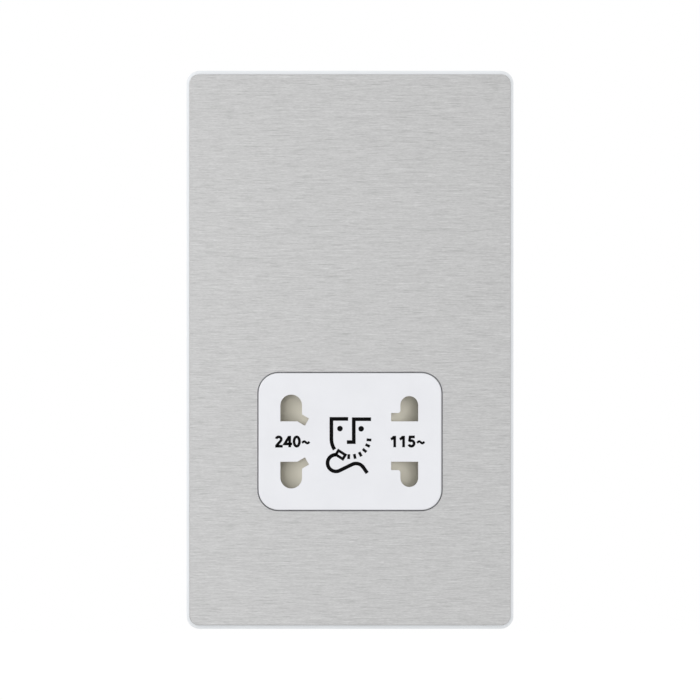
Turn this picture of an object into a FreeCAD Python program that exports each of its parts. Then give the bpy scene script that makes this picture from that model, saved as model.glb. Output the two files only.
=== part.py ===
import FreeCAD, Part
import math
import os
import Sketcher

# Shaver supply socket on a tall wall plate, in millimetres.
# +X is right, +Z is up and the front faces -Y.
# The origin is on the wall plane, midway between the two fixing holes.

Vector = FreeCAD.Vector

# Driving sizes
SIZES = {
    # Steel front plate
    "reveal_side": 0.75,
    "reveal_end": 1.0,
    "plate_corner": 2.5,
    "plate_thick": 1.2,
    "plate_bevel": 0.25,
    "window_gap": 0.1,
    # Clip carrier bonded behind the plate
    "carrier_thick": 1.0,
    "carrier_margin": 3.4,
    "carrier_hole": 5.5,
    "carrier_gap": 0.2,
    "hook_width": 6.0,
    "hook_thick": 1.2,
    "hook_barb": 0.6,
    "hook_inset": 4.0,
    "hook_end": 16.2,
    "hook_gap": 0.4,
    # Moulded mounting frame
    "frame_side": 10.0,
    "frame_corner": 3.4,
    "frame_thick": 4.6,
    "frame_wall": 1.6,
    "frame_edge": 1.0,
    "frame_rim": 1.8,
    "rib_thick": 1.2,
    "rib_spacing": 15.0,
    "rib_clear": 0.6,
    "fixing_margin": 13.1,
    "fixing_clear": 1.3,
    "fixing_hole": 1.95,
    "fixing_recess": 4.2,
    "fixing_boss": 6.0,
    "fixing_floor": 1.4,
    "pillar_radius": 3.0,
    "pillar_clear": 0.2,
    # White socket face
    "insert_width": 48.1,
    "insert_height": 36.0,
    "insert_corner": 5.3,
    "insert_proud": 0.6,
    "insert_edge": 0.4,
    "face_wall": 1.4,
    "insert_wall": 1.6,
    "insert_gap": 0.2,
    "flange_reach": 5.0,
    # Pin apertures: insets from the side of the socket face, heights from its middle
    "aperture_flat": 5.3,
    "high_inset": 8.6,
    "high_radius": 2.85,
    "high_round": 9.49,
    "high_arm_reach": 4.15,
    "high_arm_z": 5.1,
    "high_arm_length": 3.4,
    "arm_thick": 2.2,
    "low_inset": 8.47,
    "low_radius": 2.34,
    "low_round": 9.6,
    "low_arm_reach": 4.77,
    "arm_round": 0.65,
    # Shutters
    "shutter_gap": 0.3,
    "shutter_lap": 0.4,
    "shutter_width": 8.3,
    "shutter_travel": 8.0,
    "ramp_drop": 3.6,
    "shutter_reach": 12.9,
    "shutter_middle": 3.7,
    "shutter_wall": 1.4,
    "nose_length": 2.8,
    "nose_high": 1.5,
    "nose_offset": 0.45,
    "spring_radius": 1.8,
    "spring_wire": 0.45,
    "spring_groove": 0.36,
    "spring_turns": 8,
    "post_half": 1.0,
    "post_height": 3.2,
    # Socket body
    "chamber_depth": 6.0,
    "deck_thick": 1.6,
    "cell_depth": 8.4,
    "cell_width": 7.8,
    "cell_height": 8.2,
    "cell_inset": 8.55,
    "cell_rise": 8.9,
    "body_corner": 2.0,
    "body_flange": 5.0,
    "cover_thick": 1.6,
    # Contacts
    "strip_thick": 0.5,
    "strip_width": 5.0,
    "jaw_base": 3.2,
    "jaw_throat": 1.7,
    "jaw_depth": 2.94,
    "jaw_bend": 0.9,
    "jaw_mouth": 2.6,
    "tail_length": 5.8,
    "leaf_thick": 0.4,
    "leaf_offset": 0.8,
    "leaf_width": 5.0,
    "leaf_drop": 7.5,
    "leaf_tail": 2.0,
    "leaf_reach": 3.4,
    "link_thick": 0.6,
    "link_width": 3.0,
    # Transformer
    "core_height": 40.0,
    "core_stack": 18.0,
    "core_gap": 6.1,
    "core_clear": 4.2,
    "leg_width": 8.0,
    "bobbin_wall": 1.1,
    "bobbin_gap": 0.2,
    "cheek_thick": 1.0,
    "coil_reach": 8.0,
    "primary_length": 12.0,
    "tape_thick": 0.3,
    "winding_inset": 0.7,
    "coil_corner": 2.8,
    "clamp_thick": 1.0,
    "clamp_lip": 4.0,
    "ear_height": 14.0,
    "ear_reach": 5.6,
    "clamp_bend": 1.5,
    "clamp_bite": 7.5,
    "cutout_width": 14.0,
    "cutout_height": 8.0,
    "cutout_depth": 4.0,
    "cutout_corner": 1.3,
    "cutout_clear": 1.4,
    # Rear housing
    "flange_side_clear": 2.15,
    "flange_end_clear": 4.1,
    "housing_wall": 1.8,
    "coil_clear": 0.7,
    "tail_clear": 0.8,
    "housing_corner": 3.0,
    "housing_edge": 1.2,
    "vent_width": 2.0,
    "vent_length": 16.0,
    "vent_spacing": 5.0,
    "lug_width": 9.0,
    "lug_height": 6.0,
    "lug_thick": 3.0,
    "lug_inset": 11.0,
    # Supply terminals
    "block_side": 2.0,
    "block_top": 2.5,
    "block_back": 2.0,
    "block_floor": 3.0,
    "block_wall": 1.5,
    "way_spacing": 12.0,
    "terminal_width": 7.2,
    "terminal_depth": 8.5,
    "terminal_height": 9.0,
    "wire_bore": 1.75,
    "wire_bore_length": 7.0,
    "wire_bore_inset": 3.57,
    "wire_entry": 2.4,
    "access_clear": 0.3,
    "terminal_screw": 1.6,
    "terminal_head": 2.6,
    # Screws
    "screw_shank": 1.4,
    "screw_head": 2.6,
    "screw_head_high": 1.6,
    "screw_bite": 1.2,
    "screw_slot": 0.7,
    "screw_ease": 0.1,
    # Leads
    "lead_radius": 0.9,
    "lead_bend": 2.6,
    "lead_hole": 1.7,
    "lead_gap": 0.5,
    "lead_spacing": 3.6,
    "lead_rise": 4.5,
    "bay_drop": 4.0,
    "earth_width": 5.0,
    "earth_tail": 3.6,
}


class Size:
    """A length that carries its value and the sheet expression that it comes from."""

    def __init__(self, value, text):
        self.value = value
        self.text = text

    def join(self, other, sign, value):
        other_text = other.text if isinstance(other, Size) else repr(float(other))
        return Size(value, "(" + self.text + " " + sign + " " + other_text + ")")

    def __add__(self, other):
        return self.join(other, "+", self.value + number(other))

    def __sub__(self, other):
        return self.join(other, "-", self.value - number(other))

    def __mul__(self, other):
        return self.join(other, "*", self.value * number(other))

    def __truediv__(self, other):
        return self.join(other, "/", self.value / number(other))

    def __neg__(self):
        return Size(-self.value, "(0 - " + self.text + ")")


def number(length):
    return length.value if isinstance(length, Size) else float(length)


def text(length):
    return length.text if isinstance(length, Size) else repr(float(length))


doc = FreeCAD.newDocument("ShaverSocket")


def fill_sheet():
    """Put every driving size in a named cell and hand them back as lengths."""
    sheet = doc.addObject("Spreadsheet::Sheet", "Sizes")
    lengths = {}
    for row, (name, value) in enumerate(SIZES.items(), start=1):
        cell = "B" + str(row)
        sheet.set("A" + str(row), name)
        sheet.set(cell, str(value))
        sheet.setAlias(cell, name)
        lengths[name] = Size(float(value), "Sizes." + name)
    doc.recompute()
    return lengths


class Lengths:
    def __init__(self, lengths):
        self.__dict__.update(lengths)


S = Lengths(fill_sheet())

# Angle, counts, share of each spring turn with its crest, and limits of the checks
ARM_SLANT = 30
VENTS_BELOW = 3
VENTS = 7
WAYS = 3
TURN_PROFILE = ((0.3, True), (0.7, True), (1.0, False))
LEAST_CUT = 1e-6
VOLUME_SLACK = 0.01
TOLERANCE = 1e-3
nodes = []

# Levels along Y, from the front to the back of the wall box
FRAME_FRONT = -S.frame_thick
FRAME_BACK = -(S.frame_thick - S.carrier_thick - S.frame_wall)
PLATE_FRONT = FRAME_FRONT - S.plate_thick
INSERT_FRONT = PLATE_FRONT - S.insert_proud
SHUTTER_FRONT = INSERT_FRONT + S.face_wall + S.shutter_gap
DECK = S.chamber_depth
CELL_FRONT = S.chamber_depth + S.deck_thick
BODY_BACK = CELL_FRONT + S.cell_depth
COVER_BACK = BODY_BACK + S.cover_thick
HOUSING_INNER = COVER_BACK + S.tail_length + S.tail_clear
HOUSING_SHALLOW = HOUSING_INNER + S.housing_wall
COIL_FRONT = FRAME_BACK + S.cutout_clear + S.cutout_depth
CHEEK_FRONT = COIL_FRONT - S.winding_inset + S.tape_thick
CORE_FRONT = CHEEK_FRONT + S.coil_reach
CORE_MIDDLE = CORE_FRONT + S.core_stack / 2
HOUSING_DEEP = CORE_FRONT + S.core_stack + S.coil_reach + S.coil_clear + S.housing_wall

# Heights along Z, outwards from the flange and the core to the housing, the fixings and the frame
FLANGE_HEIGHT = S.insert_height + S.flange_reach * 2
STRAP_HEIGHT = S.core_height + S.clamp_thick * 2
BAY_HEIGHT = S.flange_end_clear + FLANGE_HEIGHT + S.core_gap + STRAP_HEIGHT + S.core_clear
HOUSING_RISE = BAY_HEIGHT / 2 + S.housing_wall
FIXING_RISE = HOUSING_RISE + S.lug_height + S.fixing_clear
FRAME_HEIGHT = (FIXING_RISE + S.fixing_margin) * 2
INSERT_DROP = (BAY_HEIGHT - FLANGE_HEIGHT) / 2 - S.flange_end_clear
CORE_TOP = BAY_HEIGHT / 2 - S.core_clear - S.clamp_thick
CORE_RISE = CORE_TOP - S.core_height / 2
CORE_BOTTOM = CORE_TOP - S.core_height
YOKE_TOP = CORE_BOTTOM + S.leg_width
LEGS_TOP = CORE_TOP - S.leg_width
HOUSING_STEP = CORE_BOTTOM - S.clamp_thick - S.core_clear - S.housing_wall
LEAD_BAY = CORE_BOTTOM - S.bay_drop
BLOCK_BOTTOM = S.block_floor - HOUSING_RISE
TERMINAL_BOTTOM = BLOCK_BOTTOM + S.block_wall
TERMINAL_TOP = TERMINAL_BOTTOM + S.terminal_height
BLOCK_TOP = TERMINAL_TOP + S.block_top
LEAF_HEIGHT = -(INSERT_DROP + S.leaf_drop)

# Depth of the supply terminals behind the wall plane
BLOCK_BACK = HOUSING_SHALLOW + S.block_wall + S.terminal_depth + S.block_back
TERMINAL_FRONT = HOUSING_SHALLOW + S.block_wall
TERMINAL_BACK = TERMINAL_FRONT + S.terminal_depth
BORE_DEPTH = TERMINAL_FRONT + S.wire_bore_inset
SCREW_HEIGHT = TERMINAL_BOTTOM + S.wire_bore_length / 2

# Widths along X: the housing clears the flange, the pillars stand in it and the core between them,
# and the frame is wider than the housing
HOUSING_WIDTH = (S.insert_width / 2 + S.flange_reach + S.flange_side_clear + S.housing_wall) * 2
PILLAR_ACROSS = HOUSING_WIDTH / 2 - S.housing_wall - S.pillar_clear - S.pillar_radius
CORE_WIDTH = (PILLAR_ACROSS - S.pillar_radius - S.clamp_thick) * 2
FRAME_WIDTH = HOUSING_WIDTH + S.frame_side * 2
BLOCK_WIDTH = S.way_spacing * WAYS + S.block_side * 2

# Pins, shutters and contact cells, from the middle of the socket face
HIGH_CENTRE = S.insert_width / 2 - S.high_inset
HIGH_ARM = HIGH_CENTRE - S.high_arm_reach
LOW_CENTRE = S.insert_width / 2 - S.low_inset
LOW_ARM = LOW_CENTRE - S.low_arm_reach
SHUTTER_OUTER = HIGH_CENTRE + S.high_radius + S.shutter_lap
SHUTTER_INNER = SHUTTER_OUTER - S.shutter_width
CELL_CENTRE = S.insert_width / 2 - S.cell_inset

# Plate, hooks and screws in front view
PLATE_WIDTH = FRAME_WIDTH - S.reveal_side * 2
PLATE_HEIGHT = FRAME_HEIGHT - S.reveal_end * 2
HOOKS_ACROSS = PLATE_WIDTH / 2 - S.carrier_margin - S.hook_inset
HOOK_ROW = PLATE_HEIGHT / 2 - S.hook_end
LUG_ACROSS = HOUSING_WIDTH / 2 - S.lug_inset
LUG_RISE = HOUSING_RISE + S.lug_height / 2
LUG_PLACES = [(LUG_ACROSS * across, LUG_RISE * up) for across in (-1, 1) for up in (-1, 1)]
BODY_SCREW_ACROSS = S.insert_width / 2 + S.flange_reach / 2
BODY_SCREW_RISE = S.insert_height / 2 - S.screw_head
BODY_SCREW_PLACES = [(BODY_SCREW_ACROSS * across, BODY_SCREW_RISE * up - INSERT_DROP)
                     for across in (-1, 1) for up in (-1, 1)]
EARTH_LEFT = -(S.way_spacing + S.earth_width / 2)
EARTH_LOW = LEAD_BAY - S.link_thick / 2

# Shutter springs and switch noses, from the middle of the socket face
SPRING_DEPTH = DECK - S.shutter_gap - S.shutter_wall - S.shutter_gap - S.spring_radius
NOSE_LOW = {
    "shutter_240": S.nose_offset - S.leaf_drop,
    "shutter_115": -(S.leaf_drop + S.nose_offset + S.nose_high),
}

# Coil of the transformer, round the middle leg of its core
BARREL_INNER_X = S.leg_width + S.bobbin_gap
BARREL_INNER_Y = S.core_stack / 2 + S.bobbin_gap
BARREL_OUTER_X = BARREL_INNER_X + S.bobbin_wall
BARREL_OUTER_Y = BARREL_INNER_Y + S.bobbin_wall
CHEEK_X = CORE_WIDTH / 2 - S.leg_width - S.bobbin_gap
CHEEK_Y = S.core_stack / 2 + S.coil_reach
BOBBIN_BOTTOM = YOKE_TOP + S.bobbin_gap
BOBBIN_TOP = LEGS_TOP - S.bobbin_gap
MIDDLE_CHEEK = BOBBIN_BOTTOM + S.cheek_thick + S.primary_length
CUTOUT_BOTTOM = BOBBIN_BOTTOM + S.cheek_thick * 2
CUTOUT_CENTRE = -(S.cutout_width / 4)


# Sketches and features

def new_body(label, drop=None):
    """A body for one piece, with its origin on the wall plane or lowered by drop."""
    body = doc.addObject("PartDesign::Body", label)
    body.Label = label
    if drop is not None:
        body.setExpression("Placement.Base.z", text(-drop))
    nodes.append(body)
    return body


def new_sketch(body, name, plane, level):
    """A sketch across Y on XZ, across X on YZ or across Z on XY, at a level along that axis."""
    sketch = body.newObject("Sketcher::SketchObject", name)
    origin_plane = next(o for o in body.Origin.OriginFeatures if o.Role == plane + "_Plane")
    sketch.AttachmentSupport = [(origin_plane, "")]
    sketch.MapMode = "FlatFace"
    offset = -level if plane == "XZ" else level
    sketch.setExpression("AttachmentOffset.Base.z", text(offset))
    return sketch


def hold(sketch, geometry, point, across, along):
    """Fix one point of a sketch at two bound coordinates."""
    for kind, length in (("DistanceX", across), ("DistanceY", along)):
        hold_one(sketch, kind, geometry, point, length)


def hold_one(sketch, kind, geometry, point, length):
    index = sketch.addConstraint(Sketcher.Constraint(kind, -1, 1, geometry, point, number(length)))
    if isinstance(length, Size):
        sketch.setExpression("Constraints[%d]" % index, length.text)


def hold_radius(sketch, geometry, radius):
    index = sketch.addConstraint(Sketcher.Constraint("Radius", geometry, number(radius)))
    if isinstance(radius, Size):
        sketch.setExpression("Constraints[%d]" % index, radius.text)


def draw_line(sketch, start, end):
    a = Vector(number(start[0]), number(start[1]), 0)
    b = Vector(number(end[0]), number(end[1]), 0)
    return sketch.addGeometry(Part.LineSegment(a, b), False)


def draw_arc(sketch, centre, radius, first, last):
    circle = Part.Circle(Vector(number(centre[0]), number(centre[1]), 0), Vector(0, 0, 1), number(radius))
    arc = Part.ArcOfCircle(circle, math.radians(first), math.radians(last))
    return sketch.addGeometry(arc, False)


def draw_polygon(sketch, points):
    """A closed outline of straight edges with every corner held."""
    lines = []
    for index, point in enumerate(points):
        lines.append(draw_line(sketch, point, points[(index + 1) % len(points)]))
    for index, line in enumerate(lines):
        following = lines[(index + 1) % len(lines)]
        sketch.addConstraint(Sketcher.Constraint("Coincident", line, 2, following, 1))
    for line, point in zip(lines, points):
        hold(sketch, line, 1, point[0], point[1])


def draw_rectangle(sketch, left, bottom, right, top):
    draw_polygon(sketch, [(left, bottom), (right, bottom), (right, top), (left, top)])


def draw_rounded(sketch, centre_x, centre_y, width, height, radius):
    """A rectangle with four equal round corners."""
    left = -(width / 2) + centre_x
    right = width / 2 + centre_x
    bottom = -(height / 2) + centre_y
    top = height / 2 + centre_y
    r = number(radius)
    a, b, c, d = number(left), number(bottom), number(right), number(top)
    edges = [
        draw_line(sketch, (a + r, b), (c - r, b)),
        draw_arc(sketch, (c - r, b + r), r, -90, 0),
        draw_line(sketch, (c, b + r), (c, d - r)),
        draw_arc(sketch, (c - r, d - r), r, 0, 90),
        draw_line(sketch, (c - r, d), (a + r, d)),
        draw_arc(sketch, (a + r, d - r), r, 90, 180),
        draw_line(sketch, (a, d - r), (a, b + r)),
        draw_arc(sketch, (a + r, b + r), r, 180, 270),
    ]
    for index, edge in enumerate(edges):
        sketch.addConstraint(Sketcher.Constraint("Tangent", edge, 2, edges[(index + 1) % 8], 1))
    for index in (0, 4):
        sketch.addConstraint(Sketcher.Constraint("Horizontal", edges[index]))
    for index in (2, 6):
        sketch.addConstraint(Sketcher.Constraint("Vertical", edges[index]))
    for index in (1, 3, 5):
        sketch.addConstraint(Sketcher.Constraint("Equal", edges[index], edges[index + 2]))
    hold_radius(sketch, edges[1], radius)
    hold_one(sketch, "DistanceY", edges[0], 1, bottom)
    hold_one(sketch, "DistanceX", edges[2], 1, right)
    hold_one(sketch, "DistanceY", edges[4], 1, top)
    hold_one(sketch, "DistanceX", edges[6], 1, left)


def draw_circle(sketch, centre_x, centre_y, radius):
    circle = Part.Circle(Vector(number(centre_x), number(centre_y), 0), Vector(0, 0, 1), number(radius))
    index = sketch.addGeometry(circle, False)
    hold(sketch, index, 3, centre_x, centre_y)
    hold_radius(sketch, index, radius)


def draw_pin_hole(sketch, centre_x, flat, centre_y, radius):
    """A pin hole with one flat end towards the middle and one round end."""
    x, y0, y1, r = number(centre_x), number(flat), number(centre_y), number(radius)
    flat_edge = draw_line(sketch, (x - r, y0), (x + r, y0))
    right = draw_line(sketch, (x + r, y0), (x + r, y1))
    arc = draw_arc(sketch, (x, y1), r, 0, 180)
    left = draw_line(sketch, (x - r, y1), (x - r, y0))
    sketch.addConstraint(Sketcher.Constraint("Coincident", flat_edge, 2, right, 1))
    sketch.addConstraint(Sketcher.Constraint("Coincident", left, 2, flat_edge, 1))
    sketch.addConstraint(Sketcher.Constraint("Tangent", right, 2, arc, 1))
    sketch.addConstraint(Sketcher.Constraint("Tangent", arc, 2, left, 1))
    sketch.addConstraint(Sketcher.Constraint("Horizontal", flat_edge))
    sketch.addConstraint(Sketcher.Constraint("Vertical", right))
    sketch.addConstraint(Sketcher.Constraint("Vertical", left))
    hold_radius(sketch, arc, radius)
    hold(sketch, arc, 3, centre_x, centre_y)
    hold_one(sketch, "DistanceY", flat_edge, 1, flat)


def extrude(body, kind, sketch, length, positive):
    """Pad or pocket a sketch towards the positive or negative end of its axis."""
    feature = body.newObject("PartDesign::" + kind, sketch.Name + "_" + kind.lower())
    feature.Profile = sketch
    feature.setExpression("Length", text(length))
    sketch_looks_negative = sketch.Name.endswith("_xz")
    along_normal = positive != sketch_looks_negative
    feature.Reversed = not along_normal if kind == "Pad" else along_normal
    sketch.Visibility = False
    doc.recompute()
    return feature


def pad(body, sketch, length, positive=True):
    return extrude(body, "Pad", sketch, length, positive)


def pocket(body, sketch, length, positive=True):
    """Cut a pocket and make sure that it took material away."""
    before = body.Shape.Volume
    feature = extrude(body, "Pocket", sketch, length, positive)
    if not body.Shape.Volume < before - LEAST_CUT:
        raise ValueError(sketch.Name + " cuts nothing")
    return feature


def sketch_xz(body, name, level):
    return new_sketch(body, body.Label + "_" + name + "_xz", "XZ", level)


def sketch_yz(body, name, level):
    return new_sketch(body, body.Label + "_" + name + "_yz", "YZ", level)


def sketch_xy(body, name, level):
    return new_sketch(body, body.Label + "_" + name + "_xy", "XY", level)


def mirror(body, name, features, plane):
    """Repeat features on the other side of one of the body's own planes."""
    feature = body.newObject("PartDesign::Mirrored", body.Label + "_" + name)
    feature.Originals = features
    origin_plane = next(o for o in body.Origin.OriginFeatures if o.Role == plane + "_Plane")
    feature.MirrorPlane = (origin_plane, [""])
    body.Tip = feature
    doc.recompute()
    return feature


def repeat(body, name, features, axis, length, count):
    """Repeat features in a row along one of the body's own axes."""
    feature = body.newObject("PartDesign::LinearPattern", body.Label + "_" + name)
    feature.Originals = features
    origin_axis = next(o for o in body.Origin.OriginFeatures if o.Role == axis + "_Axis")
    feature.Direction = (origin_axis, [""])
    feature.setExpression("Length", text(length))
    feature.Occurrences = count
    body.Tip = feature
    doc.recompute()
    return feature


def round_edges(body, name, radius, wanted, kind="Fillet"):
    """Round or bevel the edges that the wanted test picks."""
    base = body.Tip
    names = []
    for index, edge in enumerate(base.Shape.Edges, start=1):
        if wanted(edge):
            names.append("Edge" + str(index))
    if not names:
        raise ValueError(body.Label + " has no edge for " + name)
    feature = body.newObject("PartDesign::" + kind, body.Label + "_" + name)
    feature.Base = (base, names)
    feature.setExpression("Radius" if kind == "Fillet" else "Size", text(radius))
    doc.recompute()
    return feature


def near(a, b):
    return abs(a - number(b)) < TOLERANCE


def lies_at(edge, **levels):
    """True where the whole edge lies at the given levels of X, Y or Z."""
    box = edge.BoundBox
    lows = {"x": box.XMin, "y": box.YMin, "z": box.ZMin}
    highs = {"x": box.XMax, "y": box.YMax, "z": box.ZMax}
    return all(near(lows[axis], level) and near(highs[axis], level) for axis, level in levels.items())


def runs_along(edge, axis):
    """True where the edge is straight and runs along the given axis."""
    if edge.Curve.TypeId != "Part::GeomLine":
        return False
    direction = edge.tangentAt(edge.FirstParameter)
    return near(abs(getattr(direction, axis)), 1)


# Screws and leads

def peg(name, x, y, z, radius, length):
    """A cylinder along +Y that starts at the given point."""
    cylinder = doc.addObject("Part::Cylinder", name)
    cylinder.setExpression("Radius", text(radius))
    cylinder.setExpression("Height", text(length))
    cylinder.Placement = FreeCAD.Placement(Vector(0, 0, 0), FreeCAD.Rotation(Vector(1, 0, 0), -90))
    cylinder.setExpression("Placement.Base.x", text(x))
    cylinder.setExpression("Placement.Base.y", text(y))
    cylinder.setExpression("Placement.Base.z", text(z))
    return cylinder


def screw_group(label, places, tip, seat, shank, head, head_high):
    """Like screws in one node, each with its tip in front and its head behind the seat."""
    screws = []
    for index, (x, z) in enumerate(places):
        name = label + "_" + str(index)
        shank_peg = peg(name + "_shank", x, tip, z, shank, seat - tip)
        head_peg = peg(name + "_head", x, seat, z, head, head_high)
        whole = doc.addObject("Part::Fuse", name + "_whole")
        whole.Base = shank_peg
        whole.Tool = head_peg
        slot = doc.addObject("Part::Box", name + "_slot")
        slot.setExpression("Length", text((head + S.screw_slot) * 2))
        slot.setExpression("Width", text(head_high / 2))
        slot.setExpression("Height", text(S.screw_slot))
        slot.setExpression("Placement.Base.x", text(-(head + S.screw_slot) + x))
        slot.setExpression("Placement.Base.y", text(seat + head_high / 2))
        slot.setExpression("Placement.Base.z", text(-(S.screw_slot / 2) + z))
        screw = doc.addObject("Part::Cut", name)
        screw.Base = whole
        screw.Tool = slot
        screws.append(screw)
    group = doc.addObject("Part::Compound", label)
    group.Label = label
    group.Links = screws
    nodes.append(group)


def lead(label, points):
    """A round lead of straight runs joined by tangent bends, with its volume checked."""
    route = [Vector(*[number(value) for value in point]) for point in points]
    bend = S.lead_bend.value
    edges = []
    start = route[0]
    for before, corner, after in zip(route, route[1:], route[2:]):
        inward = (corner - before).normalize()
        outward = (after - corner).normalize()
        half_turn = inward.getAngle(outward) / 2
        back = bend * math.tan(half_turn)
        first = corner - inward * back
        last = corner + outward * back
        towards = (outward - inward).normalize()
        middle = corner + towards * (bend / math.cos(half_turn) - bend)
        edges.append(Part.LineSegment(start, first).toShape())
        edges.append(Part.Arc(first, middle, last).toShape())
        start = last
    edges.append(Part.LineSegment(start, route[-1]).toShape())
    path = Part.Wire(edges)
    section = Part.Wire([Part.makeCircle(S.lead_radius.value, route[0], route[1] - route[0])])
    tube = path.makePipeShell([section], True, False)
    wanted = math.pi * S.lead_radius.value ** 2 * path.Length
    if abs(tube.Volume / wanted - 1) > VOLUME_SLACK:
        raise ValueError(label + " has the wrong volume")
    feature = doc.addObject("Part::Feature", label)
    feature.Label = label
    feature.Shape = tube
    feature.Placement = FreeCAD.Placement()
    nodes.append(feature)


# Front plate and frame

def make_front_plate():
    """Flat steel plate with a bevelled edge and the window for the socket face."""
    body = new_body("front_plate")
    outline = sketch_xz(body, "outline", FRAME_FRONT)
    draw_rounded(outline, 0, 0, PLATE_WIDTH, PLATE_HEIGHT, S.plate_corner)
    pad(body, outline, S.plate_thick, positive=False)
    window = sketch_xz(body, "window", FRAME_FRONT)
    gap = S.window_gap * 2
    draw_rounded(window, 0, -INSERT_DROP, S.insert_width + gap, S.insert_height + gap,
                 S.insert_corner + S.window_gap)
    pocket(body, window, S.plate_thick, positive=False)
    round_edges(body, "bevel", S.plate_bevel, lambda edge: lies_at(edge, y=PLATE_FRONT), "Chamfer")


def hook_places():
    """Centre of each clip hook: three down each long side."""
    places = []
    for side in (-1, 1):
        for row in (-1, 0, 1):
            places.append((HOOKS_ACROSS * side, HOOK_ROW * row))
    return places


def make_clip_carrier():
    """Thin moulded carrier bonded behind the plate, with the hooks that clip it to the frame."""
    body = new_body("clip_carrier")
    outline = sketch_xz(body, "outline", FRAME_FRONT)
    width = PLATE_WIDTH - S.carrier_margin * 2
    height = PLATE_HEIGHT - S.carrier_margin * 2
    draw_rounded(outline, 0, 0, width, height, S.plate_corner)
    pad(body, outline, S.carrier_thick)
    window = sketch_xz(body, "window", FRAME_FRONT)
    reach = S.flange_reach * 2
    draw_rounded(window, 0, -INSERT_DROP, S.insert_width + reach, S.insert_height + reach,
                 S.insert_corner)
    pocket(body, window, S.carrier_thick)
    holes = sketch_xz(body, "holes", FRAME_FRONT)
    for side in (-1, 1):
        draw_circle(holes, 0, FIXING_RISE * side, S.carrier_hole)
    pocket(body, holes, S.carrier_thick)
    earth = sketch_xz(body, "earth", FRAME_FRONT)
    draw_rectangle(earth, EARTH_LEFT - S.hook_gap, EARTH_LOW - S.hook_gap,
                   EARTH_LEFT + S.earth_width + S.hook_gap, EARTH_LOW + S.link_thick + S.hook_gap)
    pocket(body, earth, S.carrier_thick)
    back = FRAME_FRONT + S.carrier_thick
    hooks = sketch_xz(body, "hooks", back)
    barbs = []
    for x, z in hook_places():
        side = 1 if x.value > 0 else -1
        draw_rectangle(hooks, x - S.hook_thick / 2, z - S.hook_width / 2,
                       x + S.hook_thick / 2, z + S.hook_width / 2)
        barbs.append((x, z, side))
    length = S.frame_wall + S.hook_gap / 2 + S.hook_barb
    pad(body, hooks, length)
    barb = sketch_xz(body, "barbs", back + length)
    for x, z, side in barbs:
        inner = x + S.hook_thick / 2 * side
        outer = inner + S.hook_barb * side
        low, high = (inner, outer) if side > 0 else (outer, inner)
        draw_rectangle(barb, low, z - S.hook_width / 2, high, z + S.hook_width / 2)
    pad(body, barb, S.hook_barb, positive=False)


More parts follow.
